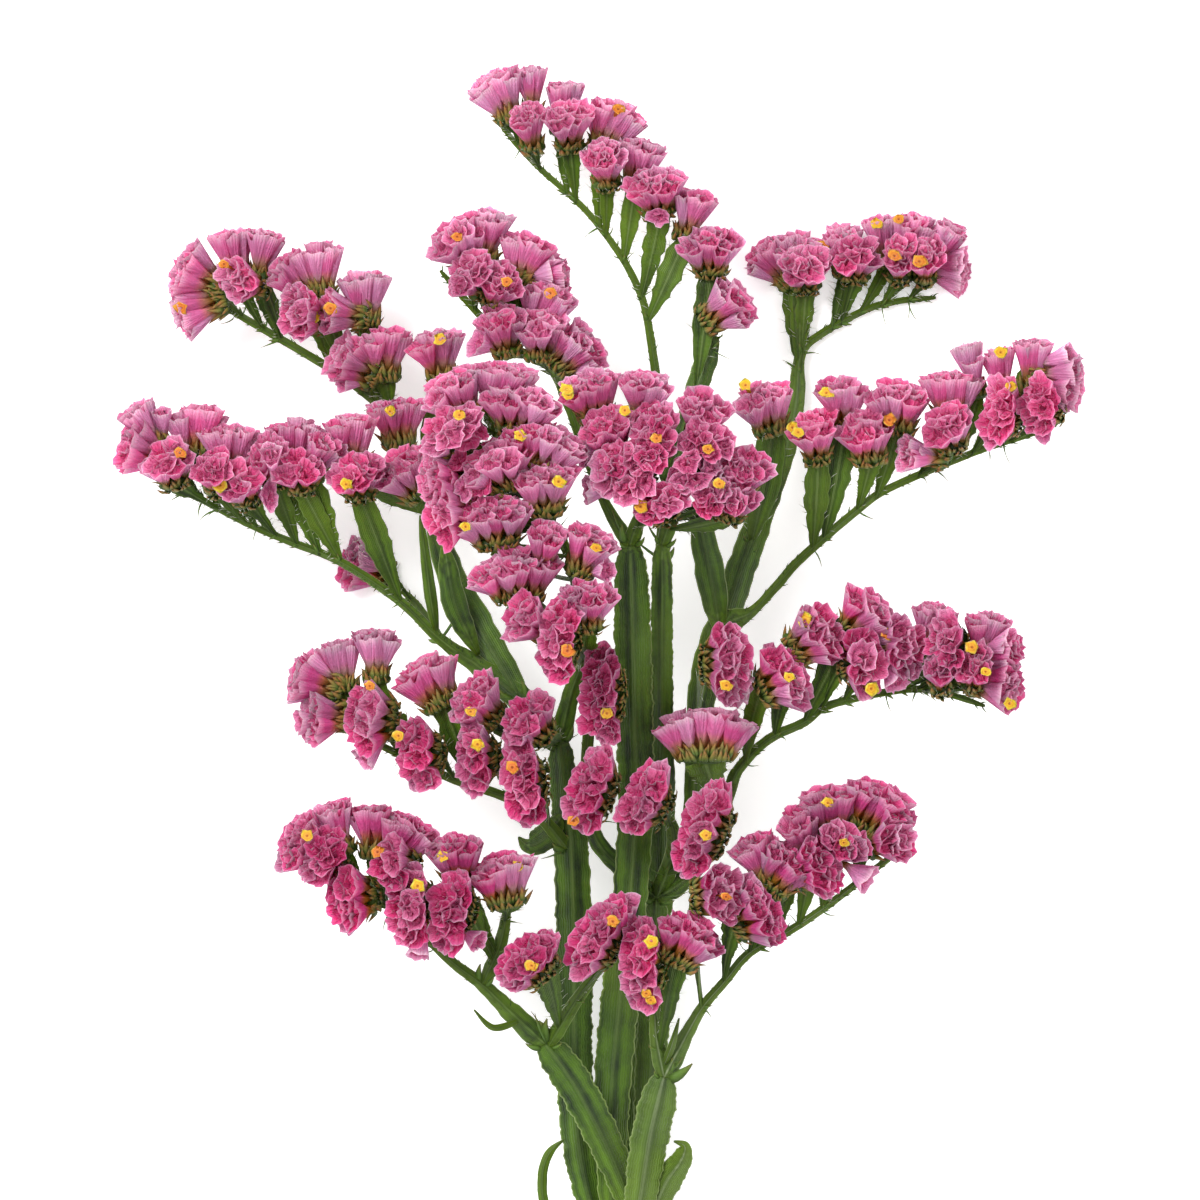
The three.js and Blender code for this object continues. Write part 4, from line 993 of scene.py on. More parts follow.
def hairs_of(grown, seed):
    """Bristles from random places on each boat's sides and on its stalk's two edges, pointing away."""
    rng = np.random.default_rng(seed)
    feet, ways = [], []
    for spike in grown:
        u = rng.uniform(-1, 1, BOAT_HAIRS) * (spike.reach + HAIR_PAST)
        hand = rng.choice([-1.0, 1.0], BOAT_HAIRS)
        level = rng.uniform(*HAIR_LEVELS, BOAT_HAIRS) - spike.drop(u) * FOOT_ARCH
        feet.append(spike.place(u, hand * HAIR_OUT, level))
        lean = rng.uniform(-0.6, 0.6, (2, BOAT_HAIRS))
        ways.append(hand[:, None] * spike.across + lean[0][:, None] * spike.along
                    + (0.5 + lean[1])[:, None] * spike.out)
        ring = rng.integers(2, len(spike.stalk_line) - 1, EDGE_HAIRS)
        edge = rng.integers(0, 2, EDGE_HAIRS)
        feet.append(spike.stalk_edges[ring, edge])
        off = spike.stalk_edges[ring, edge] - spike.stalk_line[ring]
        ways.append(unit(off) + 0.6 * spike.out + rng.uniform(-0.5, 0.5, (EDGE_HAIRS, 3)))
    foot, way = np.concatenate(feet), unit(np.concatenate(ways))
    tip = foot + way * HAIR_LONG * rng.uniform(0.5, 1.2, (len(foot), 1))
    middle = (foot + tip) / 2 + rng.uniform(-0.15, 0.15, foot.shape)
    half = np.tile([HAIR_THIN * 1.3, HAIR_THIN, 0.02], (len(foot), 1))
    side = unit(np.cross(way, [0.3, 0.2, 1.0]))
    return blades(foot, middle, tip, side, half, half, rng.uniform(0, 1, len(foot)), HAIR_SIDES)

pale_bristles = hair_finish()
for number, name in enumerate(STEMS):
    dress(name, "hairs", hairs_of(spikes_of(name), 80 + number), pale_bristles)

# %% [markdown]
# ## Papery cups
# A cup is a funnel: a narrow brownish tube with five ribs, and a limb that flares and crinkles like tissue
# paper. The surface goes up the outside, over a rim of twenty points, down into a valley, up over a small
# inner frill and down to the throat, so it is closed and full of folds. There are nearly twelve hundred
# cups, so each has only some eight dozen triangles.

# %% The finish of papery cups
TUBE_V, RIM_V, VALLEY_V, FRILL_V, THROAT_V = 0.20, 0.50, 0.66, 0.80, 1.00
# Screen colours from the foot outside over the rim and the frill to the throat, of a deep and a fair cup.
# Inside, both ramps grow darker into the valley and down to the throat: partly the deeper pink of the
# inside, partly painted shade in the hollow.
DEEP_CUP = [
    (0.00, (168, 146, 66)), (0.13, (220, 166, 70)), (0.21, (228, 148, 78)), (0.26, (244, 130, 128)),
    (0.31, (252, 112, 180)), (0.39, (252, 104, 178)), (0.45, (250, 166, 212)), (RIM_V, (250, 202, 228)),
    (0.515, (250, 130, 184)), (0.57, (248, 96, 156)), (VALLEY_V, (244, 80, 140)), (0.785, (246, 92, 152)),
    (FRILL_V, (248, 124, 176)), (0.815, (244, 84, 146)), (THROAT_V, (226, 62, 118))]
FAIR_CUP = [
    (0.00, (190, 170, 96)), (0.12, (234, 190, 130)), (0.22, (244, 200, 220)), (0.28, (250, 180, 226)),
    (0.42, (250, 196, 234)), (RIM_V, (255, 240, 248)), (0.52, (246, 190, 220)), (VALLEY_V, (234, 126, 176)),
    (0.785, (240, 146, 188)), (FRILL_V, (248, 196, 220)), (0.82, (236, 128, 172)),
    (THROAT_V, (212, 76, 126))]
# The crest pink is a painted highlight on the pleats inside the cup.
VEIN_PINK, STREAK_BROWN, CREST_HIGHLIGHT_PINK = (214, 70, 136), (128, 74, 36), (252, 150, 192)
VEINS_ROUND, STREAKS_ROUND, PLEATS_ROUND = 30, 10, 9
SHADES = (-0.5, 1.4, 0.63, 1.07)

def petal_colour(material, around, along, place, veins, crest_highlights):
    """Colour by the place along the surface: 0 is the foot outside, 0.5 the rim, 0.8 the frill, 1 the
    throat. Inside it grows darker into the valley and the throat, partly its own deeper pink and partly
    painted shade in the hollow. The two edges are light lines, the tube has brown streaks, the outside has
    fine veins, and inside the crests of small pleats get a painted highlight. A cup's own tone and patches
    shade the whole, and on lower spikes the tone also holds painted shade."""
    colour = blend(material, own_value(material, "pale"), ramp(material, along, DEEP_CUP),
                   ramp(material, along, FAIR_CUP))
    sharp = maths(material, "POWER", maths(material, "MULTIPLY_ADD", veins, 0.5, 0.5), 3.0)
    limb = span(material, along, 0.18, 0.32, 0.0, 0.15)
    colour = blend(material, maths(material, "MULTIPLY", sharp, limb), colour, paint(*VEIN_PINK))
    streaks = maths(material, "SINE", maths(material, "MULTIPLY", around, 2 * np.pi * STREAKS_ROUND))
    tube = maths(material, "MULTIPLY", span(material, along, 0.08, 0.25, 0.55, 0.0),
                 maths(material, "MULTIPLY_ADD", streaks, 0.5, 0.5))
    colour = blend(material, tube, colour, paint(*STREAK_BROWN))
    colour = blend(material, crest_highlights, colour, paint(*CREST_HIGHLIGHT_PINK))
    patches = maths(material, "MULTIPLY", noise(material, place, 260.0), 0.5)
    # How light the cup is painted: its random tone, lowered on lower spikes by painted shade, and patches.
    light = span(material, maths(material, "ADD", own_value(material, "tone"), patches), *SHADES)
    grey = node(material, "CombineColor", {0: light, 1: light, 2: light}).outputs[0]
    colour = blend(material, 1.0, colour, grey, "MULTIPLY")
    return node(material, "HueSaturation", {"Saturation": 1.05, "Color": colour}).outputs[0]

def petal_finish():
    """Fine veins run up the cup and small pleats shake round it: both dent it a little, the veins colour
    it, and the pleats' crests inside get a painted highlight. A half of the light comes through."""
    material = new_material("papery_pink")
    around, along = surface_uv(material)
    place = own_place(material)
    veins = maths(material, "SINE", maths(material, "MULTIPLY", around, 2 * np.pi * VEINS_ROUND))
    shaken = maths(material, "MULTIPLY", noise(material, place, 300.0), 16.0)
    pleats = maths(material, "MULTIPLY_ADD", around, 2 * np.pi * PLEATS_ROUND, shaken)
    pleats = maths(material, "SINE", pleats)
    inside = span(material, along, RIM_V, 0.56, 0.0, 1.0)
    # Painted highlight: the crests of the pleats inside the cup are painted lighter.
    crest_highlights = maths(material, "MULTIPLY", span(material, pleats, -0.1, 1.0, 0.0, 0.4), inside)
    colour = petal_colour(material, around, along, place, veins, crest_highlights)
    fine = maths(material, "MULTIPLY_ADD", veins, 0.18, noise(material, place, 1400.0))
    crinkle = maths(material, "MULTIPLY_ADD", pleats, maths(material, "MULTIPLY", inside, 0.8), fine)
    return finish_leafy(material, colour, 0.62, crinkle, 0.4, 0.52, 0.12)

papery_pink = petal_finish()
print(papery_pink.name, "has", len(papery_pink.node_tree.nodes), "nodes")

# %% Rings with different numbers of points
def join_rings(few, few_at, few_v, many, many_at, many_v):
    """Triangles from a ring of few points to one of many: each of the few has a fan of them, and one more
    closes the gap to the next fan. Gives the faces and their UV corners; `at` is a ring's first point."""
    ratio = many // few
    k = np.arange(few)[:, None]
    j = k * ratio + np.arange(ratio) - ratio // 2
    fans = np.stack([k + 0 * j, j + 1, j], -1).reshape(-1, 3)
    gaps = np.stack([k, k + 1, j[:, -1:] + 1], -1).reshape(-1, 3)
    of_few = np.array([[True, False, False]] * len(fans) + [[True, True, False]] * len(gaps))
    step = np.vstack([fans, gaps])
    faces = np.where(of_few, few_at + step % few, many_at + step % many)
    uv = np.stack([np.where(of_few, step / few, step / many), np.where(of_few, few_v, many_v)], -1)
    return faces, uv

def crease(piece, on_edge):
    """The fold stays crisp along every edge whose two points are both marked."""
    ends = np.empty(2 * len(piece.data.edges), np.int32)
    piece.data.edges.foreach_get("vertices", ends)
    piece.data.edges.foreach_set("use_edge_sharp", on_edge[ends.reshape(-1, 2)].all(1))

print(len(join_rings(5, 0, 0, 20, 5, 1)[0]), "triangles from a ring of 5 to one of 20")

# %% The sheets of one funnel
RIBS, FOLD_POINTS, RIM_POINTS = 5, 10, 20
FUNNEL_RINGS = (RIBS, RIBS, RIM_POINTS, FOLD_POINTS, FOLD_POINTS, 1)

def funnel_sheets():
    """The faces and the UV corners of one funnel, ring by ring."""
    foot_at, tube_at, rim_at, valley_at, frill_at, throat_at = np.cumsum((0,) + FUNNEL_RINGS[:-1])
    limb, limb_uv = join_rings(RIBS, tube_at, TUBE_V, RIM_POINTS, rim_at, RIM_V)
    inner, inner_uv = join_rings(FOLD_POINTS, valley_at, VALLEY_V, RIM_POINTS, rim_at, RIM_V)
    step = np.arange(FOLD_POINTS)
    fan = np.stack([frill_at + step, frill_at + (step + 1) % FOLD_POINTS, throat_at + 0 * step], -1)
    ribs, folds = np.linspace(0, 1, RIBS + 1), np.linspace(0, 1, FOLD_POINTS + 1)
    fan_corners = [(folds[:-1], FRILL_V), (folds[1:], FRILL_V), (folds[:-1], THROAT_V)]
    fan_uv = np.stack([np.stack([u, np.full(FOLD_POINTS, v)], -1) for u, v in fan_corners], 1)
    faces = [tube_faces(2, RIBS), limb, inner[:, ::-1], tube_faces(2, FOLD_POINTS) + valley_at, fan,
             foot_at + np.arange(RIBS)[None, ::-1]]
    uv = [tube_uv(ribs, np.array([0, TUBE_V])), limb_uv, inner_uv[:, ::-1],
          tube_uv(folds, np.array([VALLEY_V, FRILL_V])), fan_uv, np.zeros((1, RIBS, 2))]
    return faces, uv

print("a cup has", sum(FUNNEL_RINGS), "points")

# %% What is drawn anew for each cup
# Waves round the rim as (turns, share): slow ones of the outline, pleats, and folds of the inside.
SLOW = ((2, 0.13), (3, 0.09))
PLEATS = ((4, 0.4), (6, 0.55), (8, 0.6))
FOLDS = ((3, 0.7), (4, 0.5))
ANGLE_SHAKE, CREST_SHAKE, FRAY, OFF_CENTRE = 0.25, 0.2, 0.14, 0.8
AT_RIB, AT_FOLD = slice(None, None, RIM_POINTS // RIBS), slice(None, None, RIM_POINTS // FOLD_POINTS)

def ripple(angle, parts, rng):
    """A sum of cosines round the rim, one for each (turns, share), each with a phase of its own for every
    cup."""
    phases = rng.uniform(0, 2 * np.pi, (len(parts), len(angle), 1))
    return sum(share * np.cos(turns * angle + phase) for (turns, share), phase in zip(parts, phases))

def crinkles(count, rng):
    """What is drawn anew for each cup: the angles of its rim's points, the slow waves of its outline, the
    crests and lifts of its pleats, its folds, its fray, and how far its inside sits off the middle."""
    angle = np.arange(RIM_POINTS) + rng.uniform(0, 1, (count, 1))
    angle = angle + rng.uniform(-ANGLE_SHAKE, ANGLE_SHAKE, (count, RIM_POINTS))
    angle = angle * 2 * np.pi / RIM_POINTS
    slow = ripple(angle, SLOW, rng)
    crest = ripple(angle, PLEATS, rng) + rng.uniform(-CREST_SHAKE, CREST_SHAKE, angle.shape)
    lift = ripple(angle, PLEATS, rng)
    fold = ripple(angle[:, AT_FOLD], FOLDS, rng)
    fray = rng.uniform(-FRAY, FRAY, angle.shape)
    return angle, slow, crest, lift, fold, fray, rng.uniform(-OFF_CENTRE, OFF_CENTRE, (2, count, 1))

print("two points of a rim fray by mm", crinkles(1, np.random.default_rng(0))[5][0, :2].round(2))

# %% Funnels, worked out for many at once
# Radii of the foot and the tube in mm. Shares of the rim's radius and levels as shares of the length.
FOOT_RADIUS, TUBE_RADIUS, TUBE_SHARE = 0.8, 1.35, 0.30
PLEAT_IN, PLEAT_UP = 0.15, 0.50
VALLEY_SHARE, VALLEY_LEVEL, VALLEY_LIFT, VALLEY_OFF = 0.62, 0.82, 0.3, 0.5
FRILL_SHARE, FRILL_LEVEL, FRILL_FOLD, FRILL_FRAY = 0.36, 0.93, 0.42, 3
THROAT_LEVEL, THROAT_OFF = 0.66, 0.8

def funnel_rings(foot, rim, side, half_along, half_across, rng):
    """The rings of each cup: the foot, the tube's top, the rim, the valley, the frill and the throat. The
    pleats push the rim in and out by a share of the radius and up and down by a little. Valley and frill
    fold against each other and sit off the middle, and slow waves squash the whole, so no two cups are
    alike."""
    length = np.linalg.norm(rim - foot, axis=1)[:, None]
    out = unit(rim - foot)
    side = unit(side - out * np.sum(side * out, 1, keepdims=True))
    cross = np.cross(out, side)
    angle, slow, crest, lift, fold, fray, off = crinkles(len(foot), rng)
    aside = side * off[0] + cross * off[1]
    wide, deep = half_along[:, None], half_across[:, None]

    def ring(turn, level, along, across, rise=0.0):
        """An ellipse round each cup's line, at a share of its length plus the rise."""
        height = level * length + rise
        return (foot[:, None] + side[:, None] * (along * np.cos(turn))[..., None]
                + cross[:, None] * (across * np.sin(turn))[..., None]
                + out[:, None] * (height + np.zeros_like(turn))[..., None])

    spread = 1 + PLEAT_IN * crest + slow
    valley = VALLEY_SHARE * (1 + 0.5 * FRILL_FOLD * fold + slow[:, AT_FOLD])
    frill = FRILL_SHARE * (1 - FRILL_FOLD * fold + slow[:, AT_FOLD])
    rings = [ring(angle[:, AT_RIB], 0, FOOT_RADIUS, FOOT_RADIUS),
             ring(angle[:, AT_RIB], TUBE_SHARE, TUBE_RADIUS, TUBE_RADIUS),
             ring(angle, 1, wide * spread, deep * spread, lift * PLEAT_UP + fray),
             ring(angle[:, AT_FOLD], VALLEY_LEVEL, wide * valley, deep * valley, VALLEY_LIFT * fold)
             + VALLEY_OFF * aside[:, None],
             ring(angle[:, AT_FOLD], FRILL_LEVEL, wide * frill, deep * frill, fray[:, AT_FOLD] * FRILL_FRAY)
             + aside[:, None],
             (foot + out * (THROAT_LEVEL * length) + THROAT_OFF * aside)[:, None]]
    return np.concatenate(rings, 1)

def funnels(foot, rim, side, half_along, half_across, pale, tone, rng):
    """The cups as points, faces, UV corners and values: every point keeps its cup's tone and paleness, and
    whether it lies on a crisp edge."""
    points = funnel_rings(foot, rim, side, half_along, half_across, rng)
    count, each = points.shape[:2]
    sheets, sheet_uv = funnel_sheets()
    faces = [repeat_faces(sheet, count, each) for sheet in sheets]
    uv = [np.tile(sheet, (count, 1, 1)) for sheet in sheet_uv]
    crisp = np.repeat([0.0, 0.0, 1.0, 0.0, 1.0, 0.0], FUNNEL_RINGS)
    values = {"tone": np.repeat(tone, each), "pale": np.repeat(pale, each),
              "crisp": np.tile(crisp, count)}
    return points.reshape(-1, 3), faces, uv, values

print("faces of one cup:", sum(len(sheet) for sheet in funnel_sheets()[0]))

# %% [markdown]
# ## Two ranks of cups on each spike
# The feet stand close in the boat and the rims fan out, so each cup leans away from the middle. The ranks
# are half a cup out of step, as they grow. At both ends one more cup leans out further and shows its
# paler outside. Some cups stick out on their own, and some fill the gaps in the big front head:
# `LONE_CUPS` has the board place of each one's rim, and how pale it is unless it is an old one.

# %% Cups along the spikes
CUP_PITCH, CUP_INSET, ROOM_LEAST = 6.4, 2.9, 3.0
RANK_SPREAD, FEET_SPREAD, FEET_SHARE = 2.35, 0.4, 0.6
CUP_HALF, END_HALF, ACROSS_HALF = (3.5, 4.5), 3.8, 3.95
CUP_SIZE, RIM_SHAKE = (0.8, 1.15), (1.0, 1.0, 1.1)
FOOT_LEVEL, RIM_OVER, FAN_DROP = -0.4, 0.3, 1.5
PALE_MOST, END_PALE = 0.75, (0.5, 1.0)

def cup_rows(spike, rng):
    """Foot, rim, side direction, half sizes, paleness and tone of each cup of a spike."""
    count = max(1, int(round(spike.length / CUP_PITCH)))
    room = max(spike.length - 2 * CUP_INSET, ROOM_LEAST)
    rank = np.repeat([-1.0, 1.0], count)
    pitch = room / count
    u = (np.tile(np.arange(count) + 0.5, 2) / count - 0.5) * room + rank * pitch * 0.25
    u, v = np.append(u, [-0.5 * room, 0.5 * room]), np.append(rank * RANK_SPREAD, [0.0, 0.0])
    many = len(u)
    half_along = np.append(np.full(2 * count, np.clip(pitch, *CUP_HALF)), [END_HALF, END_HALF])
    pale = np.clip(rng.uniform(0, 1, 2 * count) ** 2 * PALE_MOST + spike.fair, 0, 1)
    pale = np.append(pale, rng.uniform(*END_PALE, 2))
    shake = rng.uniform(-1, 1, (3, many)) * np.array(RIM_SHAKE)[:, None]
    drop = spike.drop(u)
    level = CUP_LENGTH + RIM_OVER - FAN_DROP * drop
    rim = spike.place(u + shake[0], v + shake[1], level + shake[2])
    foot = spike.place(u * FEET_SHARE, v * FEET_SPREAD, FOOT_LEVEL - drop * FOOT_ARCH)
    size = rng.uniform(*CUP_SIZE, many)
    # The tone is random, and on lower spikes it also holds painted shade.
    tone = spike.light + rng.uniform(0, 1, many)
    return foot, rim, np.tile(spike.along, (many, 1)), half_along * size, ACROSS_HALF * size, pale, tone

print("a spike of 20 mm has", 2 * round(20 / CUP_PITCH) + 2, "cups")

# %% Cups that stand on their own
LONE_CUPS = [
  [478, 90], [658, 216], [182, 325], [340, 380], [475, 343], [556, 275], [595, 365], [755, 260],
  [160, 410], [270, 495], [212, 470], [435, 465], [465, 490], [585, 490], [548, 402], [582, 455],
  [608, 570], [475, 580], [515, 625], [555, 675], [630, 495], [740, 400], [972, 360], [885, 390],
  [914, 455], [1040, 430], [480, 675], [305, 730], [362, 760], [290, 690], [897, 685], [750, 690],
  [1015, 690], [418, 955], [480, 940], [285, 850], [345, 925], [525, 855], [868, 880], [830, 885],
  [480, 431, 0.3], [468, 444, 0.3], [494, 440, 0.1], [458, 462, 0.3], [482, 487, 0.3], [503, 500, 0.4],
  [524, 470, 0.5], [546, 468, 0.5], [447, 480, 0.2],
]
LONE_HALF, LONE_SIZE, LONE_FLAT, OLD_PALE = 4.2, (0.8, 1.1), 0.7, 0.95

def lone_cup(x, y, pale=OLD_PALE):
    """A cup from the nearest spike's boat to a rim at the board place: the spray's name and the cup's foot,
    rim, side direction and paleness. The rim stands over the foot by half of what the cup's length leaves
    after its way across the board, and 1 mm."""
    at = on_board([x, y, 0], SHIFT)[:2]
    gaps = {name: [np.linalg.norm(spike.place(0, 0, CUP_LENGTH * FOOT_BACK)[:2] - at) for spike in grown]
            for name, grown in spikes.items()}
    name = min(gaps, key=lambda key: min(gaps[key]))
    spike = spikes[name][int(np.argmin(gaps[name]))]
    u = np.clip((at - spike.foot[:2]) @ spike.along[:2], -spike.reach, spike.reach)
    foot = spike.place(u, 0, FOOT_LEVEL - spike.drop(u) * FOOT_ARCH)
    away = np.linalg.norm(at - foot[:2])
    rim = np.array([*at, foot[2] + 1 + 0.5 * np.sqrt(max(CUP_LENGTH ** 2 - away ** 2, 0))])
    side = np.array([foot[1] - rim[1], rim[0] - foot[0], 0])
    return name, foot, rim, side, pale

lone = [lone_cup(*place) for place in LONE_CUPS]
print(len(lone), "cups on their own")

# %% All the cups
cups = {}
for number, (name, grown) in enumerate(spikes.items()):
    rng = np.random.default_rng(300 + number)
    rows = [cup_rows(spike, rng) for spike in grown]
    for owner, foot, rim, side, pale in lone:
        if owner == name:
            half = np.array([LONE_HALF * rng.uniform(*LONE_SIZE)])
            rows.append((foot[None], rim[None], side[None], half, half * LONE_FLAT, np.array([pale]),
                         np.array([0.5])))
    columns = [np.concatenate(column) for column in zip(*rows)]
    cups[name] = columns
    points, faces, uv, values = funnels(*columns, rng)
    on_edge = values.pop("crisp") > 0
    piece = make_piece(f"spray_{name}_cups", points, faces, uv, papery_pink, "petals",
                       f"stem_{SPRAYS[name]['stem']}", values)
    crease(piece, on_edge)
print(sum(len(columns[0]) for columns in cups.values()), "cups")

# %% [markdown]
# ## Corollas
# A true flower shows for a few days inside its cup: five small yellow lobes round a darker eye. `FLOWERS`
# has the board place of each one and how far its yellow has gone to orange. Each stands on the highest
# cup under it, on a fine tube that goes down into that cup's throat.

# %% The finish of corollas
def corolla_finish():
    """Yellow lobes, a darker fold and a lighter heart by the place along the surface, warmed by the
    flower's own tone and by patches."""
    material = new_material("corolla_yellow")
    along = surface_uv(material)[1]
    fresh = ramp(material, along, [
        (0.0, (200, 160, 60)), (0.3, (226, 200, 60)), (0.5, (252, 240, 110)),
        (0.62, (240, 212, 50)), (0.74, (222, 168, 30)), (0.86, (236, 186, 50)),
        (1.0, (172, 88, 20))])
    aged = ramp(material, along, [
        (0.0, (196, 110, 50)), (0.3, (220, 130, 60)), (0.5, (248, 186, 90)),
        (0.62, (236, 148, 48)), (0.74, (206, 104, 32)), (0.86, (220, 128, 48)),
        (1.0, (144, 50, 20))])
    patches = noise(material, own_place(material), 420.0)
    tone = maths(material, "ADD", own_value(material, "tone"), -0.4)
    warm = node(material, "Clamp", {0: maths(material, "MULTIPLY_ADD", patches, 0.9, tone)}).outputs[0]
    colour = blend(material, warm, fresh, aged)
    grain = noise(material, own_place(material), 2200.0)
    return finish_leafy(material, colour, 0.5, grain, 0.15, 0.3, 0.35)

corolla_yellow = corolla_finish()
print(corolla_yellow.name, "has", len(corolla_yellow.node_tree.nodes), "nodes")

# %% Where the flowers are
FLOWERS = [
  [620, 112, .9], [311, 317, 0], [439, 341, .1], [385, 422, .1], [342, 310, .8], [220, 253, .8],
  [196, 303, .9], [465, 247, .9], [510, 282, .8], [551, 302, .9], [880, 221, .1], [895, 250, .8],
  [920, 270, .7], [828, 245, .8], [900, 215, .7], [180, 453, 1], [216, 489, .1], [345, 499, 0],
  [461, 417, .3], [524, 437, 0], [567, 494, 0], [472, 534, 0], [592, 560, .3], [575, 645, .9],
  [560, 390, 0], [565, 401, 0], [627, 410, .1], [655, 440, .7], [639, 506, .4], [703, 447, .7],
  [718, 485, .3], [745, 385, 0], [771, 427, .1], [795, 433, 0], [823, 396, 0], [900, 418, .8],
  [1001, 352, 0], [1013, 387, .3], [375, 668, .8], [385, 740, .3], [480, 713, .3], [494, 746, .1],
  [513, 765, .9], [726, 688, .3], [783, 680, 0], [801, 622, 0], [885, 635, .8], [874, 690, 0],
  [968, 645, .3], [987, 672, 0], [1008, 703, 0], [311, 836, .3], [381, 823, .2], [361, 846, .9],
  [421, 886, 0], [450, 863, .1], [514, 872, .2], [533, 972, .3], [828, 805, .2], [841, 837, .2],
  [730, 897, .9], [614, 919, .7], [660, 935, 0], [646, 987, .5], [650, 998, .4], [619, 716, .3],
  [573, 820, .8], [707, 835, .2],
]
print(len(FLOWERS), "flowers")

# %% The cup under a flower
UNDER, OVER_CUP = 3.2, 0.4

all_cups = {key: np.concatenate([columns[k] for columns in cups.values()])
            for k, key in enumerate(("foot", "rim", "side", "half_along", "half_across"))}
owners = np.repeat(list(cups), [len(columns[0]) for columns in cups.values()])
cup_out = unit(all_cups["rim"] - all_cups["foot"])
tilt = np.linalg.norm(cup_out[:, :2], axis=1)
cup_tops = all_cups["rim"][:, 2] + all_cups["half_across"] * tilt * 0.8 + OVER_CUP

def host_cup(at):
    """The number of the highest cup whose rim's middle is within UNDER of a place, or of the nearest."""
    gaps = np.linalg.norm(all_cups["rim"][:, :2] - at[:2], axis=1)
    near = gaps < max(UNDER, gaps.min() + 0.1)
    return int(np.argmax(np.where(near, cup_tops, -np.inf)))

print("the highest place for a flower is at mm", cup_tops.max().round(1))

# %% Corollas on the cups
FLOWER_HALF, FLOWER_POINTS = 2.35, 10
FLOWER_V = (0, 0.25, 0.5, 0.74, 0.86, 1.0)
ASIDE_MOST, THROAT_AT = 1.6, 0.4
LOBE_SIZE, DISC_SIZE, DISC_ASPECT, LOBE_LIFT = (0.82, 1.14), (0.78, 1.12), (0.75, 1), (-0.35, 0.45)
NOTCH, FACE_SHAKE = 0.84, 0.35
# Half widths: the throat's, neck's and eye's in mm, the fold's and heart's as shares of the disc's.
THROAT_HALF, NECK_HALF, EYE_HALF, FOLD_HALF, HEART_HALF = 0.3, 0.7, 0.12, 0.58, 0.36
NECK_DEEP, FOLD_DEEP, EYE_DEEP = 1.2, 0.45, 0.6

def corolla(x, y, tone, rng):
    """Rings from the throat to the lobes, down into a fold, up over the heart's small frill and down. Every
    other point of the outer ring is a notch between two lobes. The disc faces between the cup's way out
    and straight up, and its size, outline and folds are drawn anew for each flower."""
    at = on_board([x, y, 0], SHIFT)
    host = host_cup(at)
    gap = at[:2] - all_cups["rim"][host, :2]
    at[:2] -= gap * max(0, 1 - ASIDE_MOST / max(np.linalg.norm(gap), ASIDE_MOST))
    at[2] = cup_tops[host]
    throat = all_cups["foot"][host] * (1 - THROAT_AT) + all_cups["rim"][host] * THROAT_AT
    facing = unit(0.5 * cup_out[host] + UP + rng.uniform(-FACE_SHAKE, FACE_SHAKE, 3))
    first = unit(np.cross(facing, [0.3, 1.0, 0.2]))
    second = np.cross(facing, first)
    angle = 2 * np.pi * np.arange(FLOWER_POINTS) / FLOWER_POINTS + rng.uniform(0, 1)
    notch = np.where(np.arange(FLOWER_POINTS) % 2 == 0, 1.0, NOTCH)
    lobe, fold, heart = notch * rng.uniform(*LOBE_SIZE, (3, FLOWER_POINTS))
    size = FLOWER_HALF * rng.uniform(*DISC_SIZE)
    circle = first * np.cos(angle)[:, None] + second * np.sin(angle)[:, None] * rng.uniform(*DISC_ASPECT)
    lift = facing * rng.uniform(*LOBE_LIFT, (FLOWER_POINTS, 1))
    rings = [throat + circle * THROAT_HALF, at - facing * NECK_DEEP + circle * NECK_HALF,
             at + lift + circle * (size * lobe)[:, None],
             at - facing * FOLD_DEEP + circle * (size * FOLD_HALF * fold)[:, None],
             at + lift * 0.5 + circle * (size * HEART_HALF * heart)[:, None],
             at - facing * EYE_DEEP + circle * EYE_HALF]
    ends = np.array([0.0, 1.0])[:, None, None]
    return SPRAYS[owners[host]]["stem"], (
        np.vstack(rings), closed_faces(len(rings), FLOWER_POINTS),
        closed_uv(np.linspace(0, 1, FLOWER_POINTS + 1), np.array(FLOWER_V), ends),
        {"tone": np.full(len(rings) * FLOWER_POINTS, tone)})

rng = np.random.default_rng(77)
flowers = [corolla(*row, rng) for row in FLOWERS]
for name in STEMS:
    parts = [part for stem, part in flowers if stem == name]
    if parts:
        dress(name, "corollas", gather(parts), corolla_yellow, "corollas")

# %% [markdown]
# ## The tie
# Five turns of two-ply twine hold the stems. Each ply is a round cord that winds round the twine's own
# middle line while that line goes round the stems.

# %% Twine
def twine_finish():
    """Straw-coloured jute: lighter and darker fibres along each ply."""
    material = new_material("jute_twine")
    around, along = surface_uv(material)
    place = node(material, "CombineXYZ", {0: maths(material, "MULTIPLY", around, 14.0),
                                          1: maths(material, "MULTIPLY", along, 6.0)}).outputs[0]
    fibres = noise(material, place, 6.0, 4.0)
    colour = ramp(material, fibres, [(0.3, (120, 92, 56)), (0.55, (178, 146, 98)),
                                     (0.8, (208, 182, 134))])
    normal = node(material, "Bump", {"Height": fibres, "Distance": 0.25 * MM}).outputs[0]
    face = node(material, "BsdfPrincipled", {"Base Color": colour, "Roughness": 0.85, "Normal": normal})
    node(material, "OutputMaterial", {"Surface": face.outputs[0]})
    return material

TWINE, WRAPS, SNUG = 2.1, 5, 0.985
TIE_HALF = (9.6, 9.0)
PLY_RADIUS, PLY_TURN = 0.56, 7.0
STEPS_A_TURN, PLY_SIDES = 90, 8

